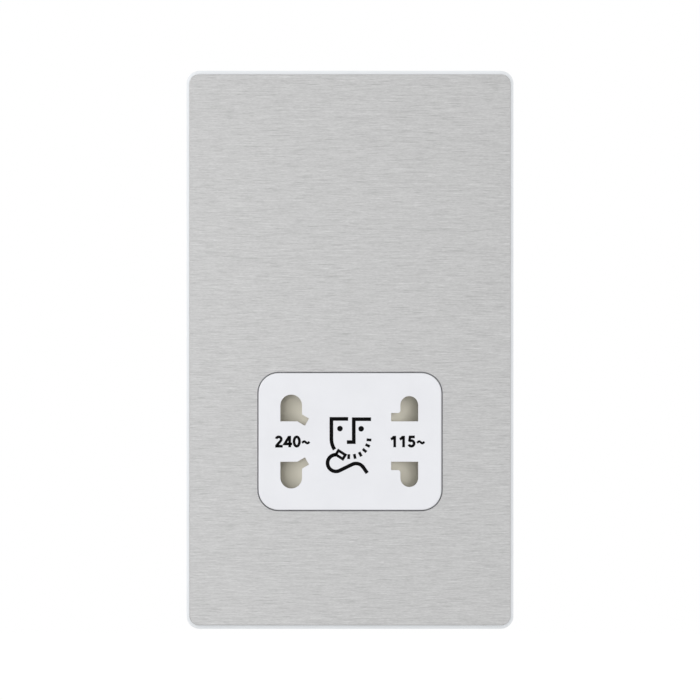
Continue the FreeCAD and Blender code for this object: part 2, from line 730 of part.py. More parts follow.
def make_mounting_frame():
    """White moulded frame: a shallow tray with ribs, bosses and pillars behind its front wall."""
    body = new_body("mounting_frame")
    outline = sketch_xz(body, "outline", FRAME_FRONT)
    draw_rounded(outline, 0, 0, FRAME_WIDTH, FRAME_HEIGHT, S.frame_corner)
    pad(body, outline, S.frame_thick)
    round_edges(body, "rim", S.frame_edge, lambda edge: lies_at(edge, y=FRAME_FRONT))
    recess = sketch_xz(body, "recess", FRAME_FRONT)
    ease = S.carrier_gap * 2 - S.carrier_margin * 2
    draw_rounded(recess, 0, 0, PLATE_WIDTH + ease, PLATE_HEIGHT + ease, S.plate_corner)
    pocket(body, recess, S.carrier_thick)
    hollow = sketch_xz(body, "hollow", FRAME_BACK)
    rim = S.frame_rim * 2
    draw_rounded(hollow, 0, 0, FRAME_WIDTH - rim, FRAME_HEIGHT - rim, S.frame_corner - S.frame_rim)
    pocket(body, hollow, -FRAME_BACK)
    ribs = sketch_xz(body, "ribs", FRAME_BACK)
    inside = FRAME_WIDTH / 2 - S.frame_rim
    for side in (-1, 1):
        level = FIXING_RISE * side
        draw_rectangle(ribs, -inside, level - S.rib_thick / 2, inside, level + S.rib_thick / 2)
    pad(body, ribs, -FRAME_BACK)
    side_ribs = sketch_xz(body, "side_ribs", FRAME_BACK)
    clear = HOUSING_WIDTH / 2 + S.rib_clear
    for row in (-3, -2, -1, 1, 2, 3):
        level = S.rib_spacing * row
        for left, right in ((-inside, -clear), (clear, inside)):
            draw_rectangle(side_ribs, left, level - S.rib_thick / 2, right, level + S.rib_thick / 2)
    pad(body, side_ribs, -FRAME_BACK)
    end_ribs = sketch_xz(body, "end_ribs", FRAME_BACK)
    for column in (-2, -1, 1, 2):
        middle = S.rib_spacing * column
        for side in (-1, 1):
            near_end = FIXING_RISE * side
            far_end = (FRAME_HEIGHT / 2 - S.frame_rim) * side
            low, high = (near_end, far_end) if side > 0 else (far_end, near_end)
            draw_rectangle(end_ribs, middle - S.rib_thick / 2, low, middle + S.rib_thick / 2, high)
    pad(body, end_ribs, -FRAME_BACK)
    bosses = sketch_xz(body, "bosses", FRAME_FRONT + S.carrier_thick)
    for side in (-1, 1):
        draw_circle(bosses, 0, FIXING_RISE * side, S.fixing_boss)
    pad(body, bosses, -(FRAME_FRONT + S.carrier_thick))
    recesses = sketch_xz(body, "recesses", FRAME_FRONT)
    for side in (-1, 1):
        draw_circle(recesses, 0, FIXING_RISE * side, S.fixing_recess)
    pocket(body, recesses, S.frame_thick - S.fixing_floor)
    holes = sketch_xz(body, "holes", FRAME_FRONT)
    for side in (-1, 1):
        draw_circle(holes, 0, FIXING_RISE * side, S.fixing_hole)
    pocket(body, holes, S.frame_thick)
    window = sketch_xz(body, "window", FRAME_FRONT)
    gap = S.insert_gap * 2
    draw_rounded(window, 0, -INSERT_DROP, S.insert_width + gap, S.insert_height + gap,
                 S.insert_corner + S.insert_gap)
    pocket(body, window, S.frame_thick)
    slots = sketch_xz(body, "slots", FRAME_FRONT)
    for x, z in hook_places():
        side = 1 if x.value > 0 else -1
        inner = x - (S.hook_thick / 2 + S.hook_gap) * side
        outer = x + (S.hook_thick / 2 + S.hook_gap) * side
        left, right = (inner, outer) if side > 0 else (outer, inner)
        half = S.hook_width / 2 + S.hook_gap
        draw_rectangle(slots, left, z - half, right, z + half)
    pocket(body, slots, S.frame_thick)
    pillars = sketch_xz(body, "pillars", FRAME_BACK)
    for side in (-1, 1):
        draw_circle(pillars, PILLAR_ACROSS * side, CORE_RISE, S.pillar_radius)
    pad(body, pillars, CORE_FRONT - FRAME_BACK)
    pilots = sketch_xz(body, "pilots", CORE_FRONT)
    for side in (-1, 1):
        draw_circle(pilots, PILLAR_ACROSS * side, CORE_RISE, S.screw_shank)
    pocket(body, pilots, S.clamp_bite, positive=False)
    taps = sketch_xz(body, "taps", FRAME_BACK)
    for x, z in LUG_PLACES + BODY_SCREW_PLACES:
        draw_circle(taps, x, z, S.screw_shank)
    pocket(body, taps, S.screw_bite, positive=False)
    earth = sketch_xz(body, "earth", FRAME_FRONT)
    draw_rectangle(earth, EARTH_LEFT, EARTH_LOW, EARTH_LEFT + S.earth_width, EARTH_LOW + S.link_thick)
    pocket(body, earth, S.frame_thick)


# Socket face, shutters and body

def make_socket_face():
    """White moulded face: a rounded cup with a fixing flange and the four pin apertures."""
    body = new_body("socket_face", INSERT_DROP)
    outline = sketch_xz(body, "outline", INSERT_FRONT)
    draw_rounded(outline, 0, 0, S.insert_width, S.insert_height, S.insert_corner)
    pad(body, outline, -INSERT_FRONT)
    round_edges(body, "edge", S.insert_edge, lambda edge: lies_at(edge, y=INSERT_FRONT))
    flange = sketch_xz(body, "flange", FRAME_BACK)
    reach = S.flange_reach * 2
    draw_rounded(flange, 0, 0, S.insert_width + reach, S.insert_height + reach, S.insert_corner)
    pad(body, flange, -FRAME_BACK)
    cavity = sketch_xz(body, "cavity", INSERT_FRONT + S.face_wall)
    wall = S.insert_wall * 2
    draw_rounded(cavity, 0, 0, S.insert_width - wall, S.insert_height - wall,
                 S.insert_corner - S.insert_wall)
    pocket(body, cavity, -(INSERT_FRONT + S.face_wall))
    high = sketch_xz(body, "high_pin", INSERT_FRONT)
    draw_pin_hole(high, -HIGH_CENTRE, S.aperture_flat, S.high_round, S.high_radius)
    high_cut = pocket(body, high, S.face_wall)
    low = sketch_xz(body, "low_pin", INSERT_FRONT)
    draw_pin_hole(low, LOW_CENTRE, S.aperture_flat, S.low_round, S.low_radius)
    low_cut = pocket(body, low, S.face_wall)
    high_arm = sketch_xz(body, "high_arm", INSERT_FRONT)
    draw_polygon(high_arm, slanted_arm())
    high_arm_cut = pocket(body, high_arm, S.face_wall)
    low_arm = sketch_xz(body, "low_arm", INSERT_FRONT)
    draw_rectangle(low_arm, LOW_ARM, S.aperture_flat, LOW_CENTRE, S.aperture_flat + S.arm_thick)
    low_arm_cut = pocket(body, low_arm, S.face_wall)
    mirror(body, "lower_pins", [high_cut, low_cut, high_arm_cut, low_arm_cut], "XY")
    corner_x = LOW_CENTRE - S.low_radius
    corner_z = S.aperture_flat + S.arm_thick
    round_edges(body, "arm_corners", S.arm_round,
                lambda edge: runs_along(edge, "y") and lies_at(edge, x=corner_x)
                and near(abs(edge.BoundBox.ZMax), corner_z))
    screws = sketch_xz(body, "screws", FRAME_BACK)
    for x, z in BODY_SCREW_PLACES:
        draw_circle(screws, x, z + INSERT_DROP, S.screw_shank)
    pocket(body, screws, -FRAME_BACK)


def slanted_arm():
    """The slot for an angled flat blade, which leaves the round pin hole at a slant."""
    along_x = math.cos(math.radians(ARM_SLANT))
    along_z = math.sin(math.radians(ARM_SLANT))
    end = (-HIGH_ARM, S.high_arm_z)
    start = (-HIGH_ARM - S.high_arm_length * along_x, S.high_arm_z + S.high_arm_length * along_z)
    across = S.arm_thick / 2
    points = []
    for (x, z), side in ((start, -1), (end, -1), (end, 1), (start, 1)):
        points.append((x + across * (along_z * side), z + across * (along_x * side)))
    return points


def make_shutter(label, side):
    """Sliding shutter: two ramps that a pin pushes aside, joined by a low bridge for the spring."""
    body = new_body(label, INSERT_DROP)
    outer = SHUTTER_OUTER * side
    top = (SHUTTER_OUTER - S.shutter_travel) * side
    inner = SHUTTER_INNER * side
    ramp_foot = SHUTTER_FRONT + S.ramp_drop
    back = DECK - S.shutter_gap
    wedge = sketch_xy(body, "wedge", S.shutter_middle)
    draw_polygon(wedge, [(outer, ramp_foot), (top, SHUTTER_FRONT), (inner, SHUTTER_FRONT),
                         (inner, back), (outer, back)])
    ramp = pad(body, wedge, S.shutter_reach - S.shutter_middle)
    mirror(body, "lower_ramp", [ramp], "XY")
    floor = sketch_xy(body, "bridge", -S.shutter_middle)
    plate = back - S.shutter_wall
    seat = (SHUTTER_OUTER - S.shutter_wall) * side
    front = SPRING_DEPTH - S.spring_radius - S.shutter_gap
    draw_polygon(floor, [(outer, front), (seat, front), (seat, plate), (inner, plate),
                         (inner, back), (outer, back)])
    pad(body, floor, S.shutter_middle * 2)
    nose = sketch_xy(body, "nose", NOSE_LOW[label])
    tip = (SHUTTER_INNER - S.nose_length) * side
    root_front = SHUTTER_FRONT + S.shutter_wall
    root_back = root_front + S.shutter_wall * 2
    taper = S.shutter_wall / 2
    draw_polygon(nose, [(inner, root_front), (tip, root_front + taper),
                        (tip, root_back - taper), (inner, root_back)])
    pad(body, nose, S.nose_high)


def make_spring(label, side):
    """Wound compression spring between a shutter and the middle post, as a ridged sleeve."""
    body = new_body(label, INSERT_DROP)
    profile = sketch_xy(body, "turns", 0)
    start = S.post_half * side
    length = (SHUTTER_OUTER - S.shutter_wall - S.post_half) * side
    turns = int(S.spring_turns.value)
    crest = SPRING_DEPTH - S.spring_radius
    root = crest + S.spring_groove
    bore = SPRING_DEPTH - (S.spring_radius - S.spring_wire * 2)
    points = [(start, root)]
    for turn in range(turns):
        for share, high in TURN_PROFILE:
            points.append((start + length * ((turn + share) / turns), crest if high else root))
    points.append((start + length, bore))
    points.append((start, bore))
    draw_polygon(profile, points)
    axis = draw_line(profile, (0, SPRING_DEPTH), (1, SPRING_DEPTH))
    profile.toggleConstruction(axis)
    hold(profile, axis, 1, 0, SPRING_DEPTH)
    hold(profile, axis, 2, 1, SPRING_DEPTH)
    feature = body.newObject("PartDesign::Revolution", label + "_wound")
    feature.Profile = profile
    feature.ReferenceAxis = (profile, ["Axis0"])
    feature.Angle = 360
    doc.recompute()


def make_socket_body():
    """Moulded body: a shutter chamber in front, contact cells behind and a deck between them."""
    body = new_body("socket_body", INSERT_DROP)
    flange = sketch_xz(body, "flange", 0)
    reach = S.flange_reach * 2
    draw_rounded(flange, 0, 0, S.insert_width + reach, S.insert_height + reach, S.insert_corner)
    pad(body, flange, S.body_flange)
    block = sketch_xz(body, "block", S.body_flange)
    draw_rounded(block, 0, 0, S.insert_width, S.insert_height, S.body_corner)
    pad(body, block, BODY_BACK - S.body_flange)
    chamber = sketch_xz(body, "chamber", 0)
    wall = S.insert_wall * 2
    draw_rounded(chamber, 0, 0, S.insert_width - wall, (S.shutter_reach + S.shutter_gap) * 2,
                 S.insert_corner - S.insert_wall)
    pocket(body, chamber, S.chamber_depth)
    post = sketch_xz(body, "post", DECK)
    draw_rectangle(post, -S.post_half, -S.post_height, S.post_half, S.post_height)
    pad(body, post, DECK - SPRING_DEPTH + S.spring_radius, positive=False)
    pins = sketch_xz(body, "pins", DECK)
    draw_pin_hole(pins, -HIGH_CENTRE, S.aperture_flat, S.high_round, S.high_radius)
    draw_pin_hole(pins, LOW_CENTRE, S.aperture_flat, S.low_round, S.low_radius)
    pins_cut = pocket(body, pins, S.deck_thick)
    cells = sketch_xz(body, "cells", CELL_FRONT)
    for side in (-1, 1):
        centre = CELL_CENTRE * side
        draw_rectangle(cells, centre - S.cell_width / 2, S.cell_rise - S.cell_height / 2,
                       centre + S.cell_width / 2, S.cell_rise + S.cell_height / 2)
    cells_cut = pocket(body, cells, S.cell_depth)
    mirror(body, "lower_cells", [pins_cut, cells_cut], "XY")
    leaves = sketch_xz(body, "leaves", DECK)
    for side in (-1, 1):
        middle = S.leaf_offset * side
        draw_rectangle(leaves, middle - S.leaf_thick / 2, -(S.leaf_drop + S.leaf_tail / 2),
                       middle + S.leaf_thick / 2, -(S.leaf_drop - S.leaf_tail / 2))
    pocket(body, leaves, BODY_BACK - DECK)
    screws = sketch_xz(body, "screws", 0)
    for x, z in BODY_SCREW_PLACES:
        draw_circle(screws, x, z + INSERT_DROP, S.screw_shank)
    pocket(body, screws, S.body_flange)


def make_contact(label, side, up):
    """Sprung jaw bent from one strip, with a solder tail behind."""
    body = new_body(label, INSERT_DROP)
    left = CELL_CENTRE * side - S.strip_width / 2
    jaw = sketch_yz(body, "jaw", left)
    centre = S.cell_rise * up
    front = CELL_FRONT + S.shutter_gap
    throat = CELL_FRONT + S.jaw_depth
    base = BODY_BACK
    t = S.strip_thick
    half_tail = t / 2
    points = [
        (base, centre - S.jaw_base),
        (throat, centre - S.jaw_throat - t),
        (front, centre - S.jaw_mouth - t),
        (front, centre - S.jaw_mouth),
        (throat, centre - S.jaw_throat),
        (base - t, centre - S.jaw_base + t),
        (base - t, centre + S.jaw_base - t),
        (throat, centre + S.jaw_throat),
        (front, centre + S.jaw_mouth),
        (front, centre + S.jaw_mouth + t),
        (throat, centre + S.jaw_throat + t),
        (base, centre + S.jaw_base),
        (base, centre + half_tail),
        (base + S.tail_length + S.cover_thick, centre + half_tail),
        (base + S.tail_length + S.cover_thick, centre - half_tail),
        (base, centre - half_tail),
    ]
    draw_polygon(jaw, points)
    pad(body, jaw, S.strip_width)
    round_edges(body, "bends", S.jaw_bend, lambda edge: runs_along(edge, "x") and lies_at(edge, y=throat))


def make_contact_cover():
    """Plate that closes the contact cells, with a slot for each tail."""
    body = new_body("contact_cover", INSERT_DROP)
    outline = sketch_xz(body, "outline", BODY_BACK)
    draw_rounded(outline, 0, 0, S.insert_width, S.insert_height, S.body_corner)
    pad(body, outline, S.cover_thick)
    tails = sketch_xz(body, "tails", BODY_BACK)
    for side in (-1, 1):
        for up in (-1, 1):
            centre = CELL_CENTRE * side
            height = S.cell_rise * up
            draw_rectangle(tails, centre - S.strip_width / 2, height - S.strip_thick / 2,
                           centre + S.strip_width / 2, height + S.strip_thick / 2)
    for side in (-1, 1):
        middle = S.leaf_offset * side
        draw_rectangle(tails, middle - S.leaf_thick / 2, -(S.leaf_drop + S.leaf_tail / 2),
                       middle + S.leaf_thick / 2, -(S.leaf_drop - S.leaf_tail / 2))
    pocket(body, tails, S.cover_thick)


def make_switch_leaf(label, side):
    """Flat spring of the supply switch, closed by the nose of a shutter."""
    body = new_body(label, INSERT_DROP)
    left = S.leaf_offset * side - S.leaf_thick / 2
    leaf = sketch_yz(body, "leaf", left)
    low = -(S.leaf_drop + S.leaf_width / 2)
    high = -(S.leaf_drop - S.leaf_width / 2)
    tail_low = -(S.leaf_drop + S.leaf_tail / 2)
    tail_high = -(S.leaf_drop - S.leaf_tail / 2)
    front = SHUTTER_FRONT + S.shutter_wall
    back = COVER_BACK + S.leaf_reach
    draw_polygon(leaf, [(front, low), (DECK, low), (DECK, tail_low), (back, tail_low),
                        (back, tail_high), (DECK, tail_high), (DECK, high), (front, high)])
    pad(body, leaf, S.leaf_thick)


def make_contact_link():
    """Flat link between the two upper contacts, which share one end of the output winding."""
    body = new_body("contact_link", INSERT_DROP)
    outline = sketch_xz(body, "outline", COVER_BACK)
    half = CELL_CENTRE - S.strip_width / 2
    draw_rectangle(outline, -half, S.cell_rise - S.link_width / 2, half, S.cell_rise + S.link_width / 2)
    pad(body, outline, S.link_thick)


# Transformer

def make_core():
    """Stacks of E and I laminations around the windows of the coil."""
    body = new_body("core_e_laminations")
    outline = sketch_xz(body, "outline", CORE_FRONT)
    half = CORE_WIDTH / 2
    leg = S.leg_width
    draw_polygon(outline, [(-half, CORE_BOTTOM), (half, CORE_BOTTOM),
                           (half, LEGS_TOP), (half - leg, LEGS_TOP),
                           (half - leg, YOKE_TOP), (leg, YOKE_TOP),
                           (leg, LEGS_TOP), (-leg, LEGS_TOP),
                           (-leg, YOKE_TOP), (leg - half, YOKE_TOP),
                           (leg - half, LEGS_TOP), (-half, LEGS_TOP)])
    pad(body, outline, S.core_stack)
    body = new_body("core_i_laminations")
    outline = sketch_xz(body, "outline", CORE_FRONT)
    draw_rectangle(outline, -half, LEGS_TOP, half, CORE_TOP)
    pad(body, outline, S.core_stack)


def centred(sketch, half_x, half_y):
    """A rectangle round the middle of the coil."""
    draw_rectangle(sketch, -half_x, CORE_MIDDLE - half_y, half_x, CORE_MIDDLE + half_y)


def make_bobbin():
    """Split bobbin: a square barrel with three cheeks that keep the two windings apart."""
    body = new_body("bobbin")
    barrel = sketch_xy(body, "barrel", BOBBIN_BOTTOM)
    centred(barrel, BARREL_OUTER_X, BARREL_OUTER_Y)
    pad(body, barrel, BOBBIN_TOP - BOBBIN_BOTTOM)
    levels = (("lower", BOBBIN_BOTTOM), ("middle", MIDDLE_CHEEK), ("upper", BOBBIN_TOP - S.cheek_thick))
    for name, level in levels:
        cheek = sketch_xy(body, name, level)
        centred(cheek, CHEEK_X, CHEEK_Y)
        pad(body, cheek, S.cheek_thick)
    bore = sketch_xy(body, "bore", BOBBIN_BOTTOM)
    centred(bore, BARREL_INNER_X, BARREL_INNER_Y)
    pocket(body, bore, BOBBIN_TOP - BOBBIN_BOTTOM)


def make_coil(label, bottom, top):
    """One winding in its chamber of the bobbin."""
    body = new_body(label)
    ring = sketch_xy(body, "ring", bottom)
    draw_rounded(ring, 0, CORE_MIDDLE, (CHEEK_X - S.winding_inset) * 2, (CHEEK_Y - S.winding_inset) * 2,
                 S.coil_corner)
    pad(body, ring, top - bottom)
    bore = sketch_xy(body, "bore", bottom)
    centred(bore, BARREL_OUTER_X, BARREL_OUTER_Y)
    pocket(body, bore, top - bottom)


def make_tape(label, bottom, top):
    """Insulating tape wound over one winding."""
    body = new_body(label)
    ring = sketch_xy(body, "ring", bottom)
    inset = S.winding_inset - S.tape_thick
    draw_rounded(ring, 0, CORE_MIDDLE, (CHEEK_X - inset) * 2, (CHEEK_Y - inset) * 2,
                 S.coil_corner + S.tape_thick)
    pad(body, ring, top - bottom)
    bore = sketch_xy(body, "bore", bottom)
    draw_rounded(bore, 0, CORE_MIDDLE, (CHEEK_X - S.winding_inset) * 2, (CHEEK_Y - S.winding_inset) * 2,
                 S.coil_corner)
    pocket(body, bore, top - bottom)


def make_windings():
    primary = (BOBBIN_BOTTOM + S.cheek_thick, MIDDLE_CHEEK)
    secondary = (MIDDLE_CHEEK + S.cheek_thick, BOBBIN_TOP - S.cheek_thick)
    make_coil("primary_winding", *primary)
    make_coil("secondary_winding", *secondary)
    make_tape("primary_tape", *primary)
    make_tape("secondary_tape", *secondary)


def make_core_clamp():
    """Bent steel strap over the core, with an ear on each side for its screw."""
    body = new_body("core_clamp")
    outline = sketch_xz(body, "outline", CORE_FRONT)
    inner = CORE_WIDTH / 2
    outer = inner + S.clamp_thick
    low = CORE_BOTTOM - S.clamp_thick
    high = CORE_TOP + S.clamp_thick
    lip = inner - S.clamp_lip
    draw_polygon(outline, [(-outer, low), (-lip, low),
                           (-lip, CORE_BOTTOM), (-inner, CORE_BOTTOM),
                           (-inner, CORE_TOP), (inner, CORE_TOP),
                           (inner, CORE_BOTTOM), (lip, CORE_BOTTOM),
                           (lip, low), (outer, low),
                           (outer, high), (-outer, high)])
    pad(body, outline, S.core_stack)
    round_edges(body, "bends", S.clamp_bend,
                lambda edge: runs_along(edge, "y") and near(abs(edge.BoundBox.XMax), outer))
    ears = sketch_xz(body, "ears", CORE_FRONT)
    for side in (-1, 1):
        near_edge = outer * side
        far_edge = (outer + S.ear_reach) * side
        left, right = (near_edge, far_edge) if side > 0 else (far_edge, near_edge)
        draw_rectangle(ears, left, CORE_RISE - S.ear_height / 2, right, CORE_RISE + S.ear_height / 2)
    pad(body, ears, S.clamp_thick)
    holes = sketch_xz(body, "holes", CORE_FRONT)
    for side in (-1, 1):
        draw_circle(holes, PILLAR_ACROSS * side, CORE_RISE, S.screw_shank)
    pocket(body, holes, S.clamp_thick)


def make_thermal_cutout():
    """Thermal cut-out that lies against the supply winding."""
    body = new_body("thermal_cutout")
    outline = sketch_xz(body, "outline", COIL_FRONT)
    draw_rounded(outline, CUTOUT_CENTRE, CUTOUT_BOTTOM + S.cutout_height / 2,
                 S.cutout_width, S.cutout_height, S.cutout_corner)
    pad(body, outline, S.cutout_depth, positive=False)


# Housing and terminals

def make_rear_housing():
    """Stepped moulded cup over the transformer and the socket body, vented beside the coil."""
    body = new_body("rear_housing")
    half_width = HOUSING_WIDTH / 2
    half_height = HOUSING_RISE
    wall = S.housing_wall
    step = HOUSING_STEP
    outline = sketch_yz(body, "outline", -half_width)
    draw_polygon(outline, [(FRAME_BACK, -half_height), (HOUSING_SHALLOW, -half_height),
                           (HOUSING_SHALLOW, step), (HOUSING_DEEP, step),
                           (HOUSING_DEEP, half_height), (FRAME_BACK, half_height)])
    pad(body, outline, HOUSING_WIDTH)
    round_edges(body, "corners", S.housing_corner,
                lambda edge: runs_along(edge, "y") and near(abs(edge.BoundBox.ZMax), half_height))
    round_edges(body, "rear_edges", S.housing_edge, lambda edge: lies_at(edge, y=HOUSING_DEEP))
    hollow = sketch_yz(body, "hollow", wall - half_width)
    draw_polygon(hollow, [(FRAME_BACK, wall - half_height), (HOUSING_SHALLOW - wall, wall - half_height),
                          (HOUSING_SHALLOW - wall, step + wall), (HOUSING_DEEP - wall, step + wall),
                          (HOUSING_DEEP - wall, half_height - wall), (FRAME_BACK, half_height - wall)])
    pocket(body, hollow, HOUSING_WIDTH - wall * 2)
    lugs = sketch_xz(body, "lugs", FRAME_BACK)
    for x, z in LUG_PLACES:
        top = z + S.lug_height / 2
        draw_rectangle(lugs, x - S.lug_width / 2, z - S.lug_height / 2, x + S.lug_width / 2, top)
    pad(body, lugs, S.lug_thick)
    lug_holes = sketch_xz(body, "lug_holes", FRAME_BACK)
    for x, z in LUG_PLACES:
        draw_circle(lug_holes, x, z, S.screw_shank)
    pocket(body, lug_holes, S.lug_thick)
    wires = sketch_xz(body, "wires", HOUSING_INNER)
    for way in (-1, 0, 1):
        draw_circle(wires, S.way_spacing * way, LEAF_HEIGHT, S.lead_hole)
    pocket(body, wires, wall)
    vent = sketch_xz(body, "vent", HOUSING_DEEP - wall)
    first = CORE_RISE - S.vent_spacing * VENTS_BELOW
    draw_rectangle(vent, -(S.vent_length / 2), first - S.vent_width / 2,
                   S.vent_length / 2, first + S.vent_width / 2)
    rear_vent = pocket(body, vent, wall)
    repeat(body, "rear_vents", [rear_vent], "Z", S.vent_spacing * (VENTS - 1), VENTS)
    side_vent = sketch_yz(body, "side_vent", -half_width)
    draw_rectangle(side_vent, CORE_MIDDLE - S.vent_length / 2, first - S.vent_width / 2,
                   CORE_MIDDLE + S.vent_length / 2, first + S.vent_width / 2)
    side_cut = pocket(body, side_vent, HOUSING_WIDTH)
    repeat(body, "side_vents", [side_cut], "Z", S.vent_spacing * (VENTS - 1), VENTS)


def make_terminal_block():
    """Moulded block with a cell, a wire entry and a screw opening for each supply wire."""
    body = new_body("terminal_block")
    half_width = BLOCK_WIDTH / 2
    outline = sketch_xz(body, "outline", HOUSING_SHALLOW)
    draw_rectangle(outline, -half_width, BLOCK_BOTTOM, half_width, BLOCK_TOP)
    pad(body, outline, BLOCK_BACK - HOUSING_SHALLOW)
    cells = sketch_xy(body, "cells", TERMINAL_BOTTOM)
    entries = sketch_xy(body, "entries", BLOCK_BOTTOM)
    access = sketch_xz(body, "access", TERMINAL_BACK)
    for way in (-1, 0, 1):
        x = S.way_spacing * way
        draw_rectangle(cells, x - S.terminal_width / 2, TERMINAL_FRONT,
                       x + S.terminal_width / 2, TERMINAL_BACK)
        draw_circle(entries, x, BORE_DEPTH, S.wire_entry)
        draw_circle(access, x, SCREW_HEIGHT, S.terminal_head + S.access_clear)
    pocket(body, cells, BLOCK_TOP - TERMINAL_BOTTOM)
    pocket(body, entries, S.block_wall)
    pocket(body, access, BLOCK_BACK - TERMINAL_BACK)
    ribs = sketch_xz(body, "ribs", BLOCK_BACK)
    for way in (-1.5, -0.5, 0.5, 1.5):
        x = S.way_spacing * way
        draw_rectangle(ribs, x - S.rib_thick / 2, BLOCK_BOTTOM, x + S.rib_thick / 2, BLOCK_TOP)
    pad(body, ribs, S.rib_thick)


def make_terminal(label, way):
    """Brass terminal with a blind wire bore from below and a clamping screw hole from behind."""
    body = new_body(label)
    x = S.way_spacing * way
    outline = sketch_xy(body, "outline", TERMINAL_BOTTOM)
    draw_rectangle(outline, x - S.terminal_width / 2, TERMINAL_FRONT,
                   x + S.terminal_width / 2, TERMINAL_BACK)
    pad(body, outline, S.terminal_height)
    bore = sketch_xy(body, "bore", TERMINAL_BOTTOM)
    draw_circle(bore, x, BORE_DEPTH, S.wire_bore)
    pocket(body, bore, S.wire_bore_length)
    screw = sketch_xz(body, "screw", BORE_DEPTH)
    draw_circle(screw, x, SCREW_HEIGHT, S.terminal_screw)
    pocket(body, screw, TERMINAL_BACK - BORE_DEPTH)


def make_screws():
    screw_group("housing_screws", LUG_PLACES, FRAME_BACK - S.screw_bite, FRAME_BACK + S.lug_thick,
                S.screw_shank, S.screw_head, S.screw_head_high)
    screw_group("body_screws", BODY_SCREW_PLACES, FRAME_BACK - S.screw_bite, S.body_flange,
                S.screw_shank, S.flange_reach / 2 - S.screw_ease, S.screw_head_high)
    clamp_places = [(PILLAR_ACROSS * side, CORE_RISE) for side in (-1, 1)]
    screw_group("clamp_screws", clamp_places, CORE_FRONT - S.clamp_bite, CORE_FRONT + S.clamp_thick,
                S.screw_shank, S.screw_head, S.screw_head_high)
    ways = [(S.way_spacing * way, SCREW_HEIGHT) for way in (-1, 0, 1)]
    screw_group("terminal_screws", ways, BORE_DEPTH + S.wire_bore + S.screw_ease, TERMINAL_BACK,
                S.terminal_screw, S.terminal_head, S.screw_head_high)


def make_earth_clip():
    """Strip through the frame that earths the metal plate."""
    body = new_body("earth_clip")
    outline = sketch_xz(body, "outline", FRAME_FRONT)
    draw_rectangle(outline, EARTH_LEFT, EARTH_LOW, EARTH_LEFT + S.earth_width, EARTH_LOW + S.link_thick)
    pad(body, outline, S.frame_thick + S.earth_tail)


def make_leads():
    """Insulated leads between the terminals, the switch, the transformer and the contacts."""
    room = S.lead_radius + S.lead_gap
    near_wall = COVER_BACK + S.link_thick + room
    outer_run = HOUSING_INNER - room
    front_run = COIL_FRONT - S.cutout_depth / 2
    leaf = S.leaf_offset + S.leaf_thick / 2
    live_x = S.way_spacing
    lead("lead_live", [(live_x, BORE_DEPTH, TERMINAL_TOP), (live_x, BORE_DEPTH, LEAF_HEIGHT),
                       (live_x, near_wall, LEAF_HEIGHT), (leaf, near_wall, LEAF_HEIGHT)])
    underside = CHEEK_FRONT + S.lead_spacing / 2
    lead("lead_neutral", [(0, BORE_DEPTH, TERMINAL_TOP), (0, BORE_DEPTH, LEAF_HEIGHT),
                          (0, outer_run, LEAF_HEIGHT), (0, outer_run, LEAD_BAY),
                          (0, underside, LEAD_BAY), (0, underside, BOBBIN_BOTTOM)])
    earth_x = -S.way_spacing
    lead("lead_earth", [(earth_x, BORE_DEPTH, TERMINAL_TOP), (earth_x, BORE_DEPTH, LEAF_HEIGHT),
                        (earth_x, outer_run, LEAF_HEIGHT), (earth_x, outer_run, LEAD_BAY),
                        (earth_x, S.earth_tail, LEAD_BAY)])
    switch_x = -(S.way_spacing / 2)
    lead("lead_switch", [(-leaf, near_wall, LEAF_HEIGHT), (switch_x, near_wall, LEAF_HEIGHT),
                         (switch_x, near_wall, LEAD_BAY), (switch_x, front_run, LEAD_BAY),
                         (switch_x, front_run, CUTOUT_BOTTOM)])
    side_x = PILLAR_ACROSS
    tail = CELL_CENTRE + S.strip_width / 2
    lower = -(INSERT_DROP + S.cell_rise)
    upper = S.cell_rise - INSERT_DROP
    outer_y = CORE_MIDDLE + CHEEK_Y - room
    inner_y = outer_y - S.lead_spacing
    over = BOBBIN_TOP + S.lead_rise
    start_x = CHEEK_X - room * 2
    turn = CORE_BOTTOM + S.lead_spacing
    for label, side in (("lead_240", -1), ("lead_115", 1)):
        lead(label, [(start_x * side, inner_y, BOBBIN_TOP), (start_x * side, inner_y, over),
                     (side_x * side, inner_y, over), (side_x * side, inner_y, turn),
                     (side_x * side, near_wall, turn), (side_x * side, near_wall, lower),
                     (tail * side, near_wall, lower)])
    common_x = start_x - S.lead_spacing
    high_over = over + S.lead_spacing
    low_turn = turn - S.lead_spacing
    lead("lead_common", [(common_x, outer_y, BOBBIN_TOP), (common_x, outer_y, high_over),
                         (side_x, outer_y, high_over), (side_x, outer_y, low_turn),
                         (side_x, outer_run, low_turn), (side_x, outer_run, upper),
                         (tail, outer_run, upper)])


def make_all():
    make_front_plate()
    make_clip_carrier()
    make_mounting_frame()
    make_socket_face()
    make_shutter("shutter_240", -1)
    make_shutter("shutter_115", 1)
    make_spring("shutter_spring_240", -1)
    make_spring("shutter_spring_115", 1)
    make_socket_body()
    for name, side in (("contact_240", -1), ("contact_115", 1)):
        make_contact(name + "_upper", side, 1)
        make_contact(name + "_lower", side, -1)
    make_contact_cover()
    make_switch_leaf("switch_leaf_240", -1)
    make_switch_leaf("switch_leaf_115", 1)
    make_contact_link()
    make_core()
    make_bobbin()
    make_windings()
    make_core_clamp()
    make_thermal_cutout()
    make_rear_housing()
    make_terminal_block()
    make_terminal("terminal_live", 1)
    make_terminal("terminal_neutral", 0)
    make_terminal("terminal_earth", -1)
    make_earth_clip()
    make_screws()
    make_leads()
    doc.recompute()


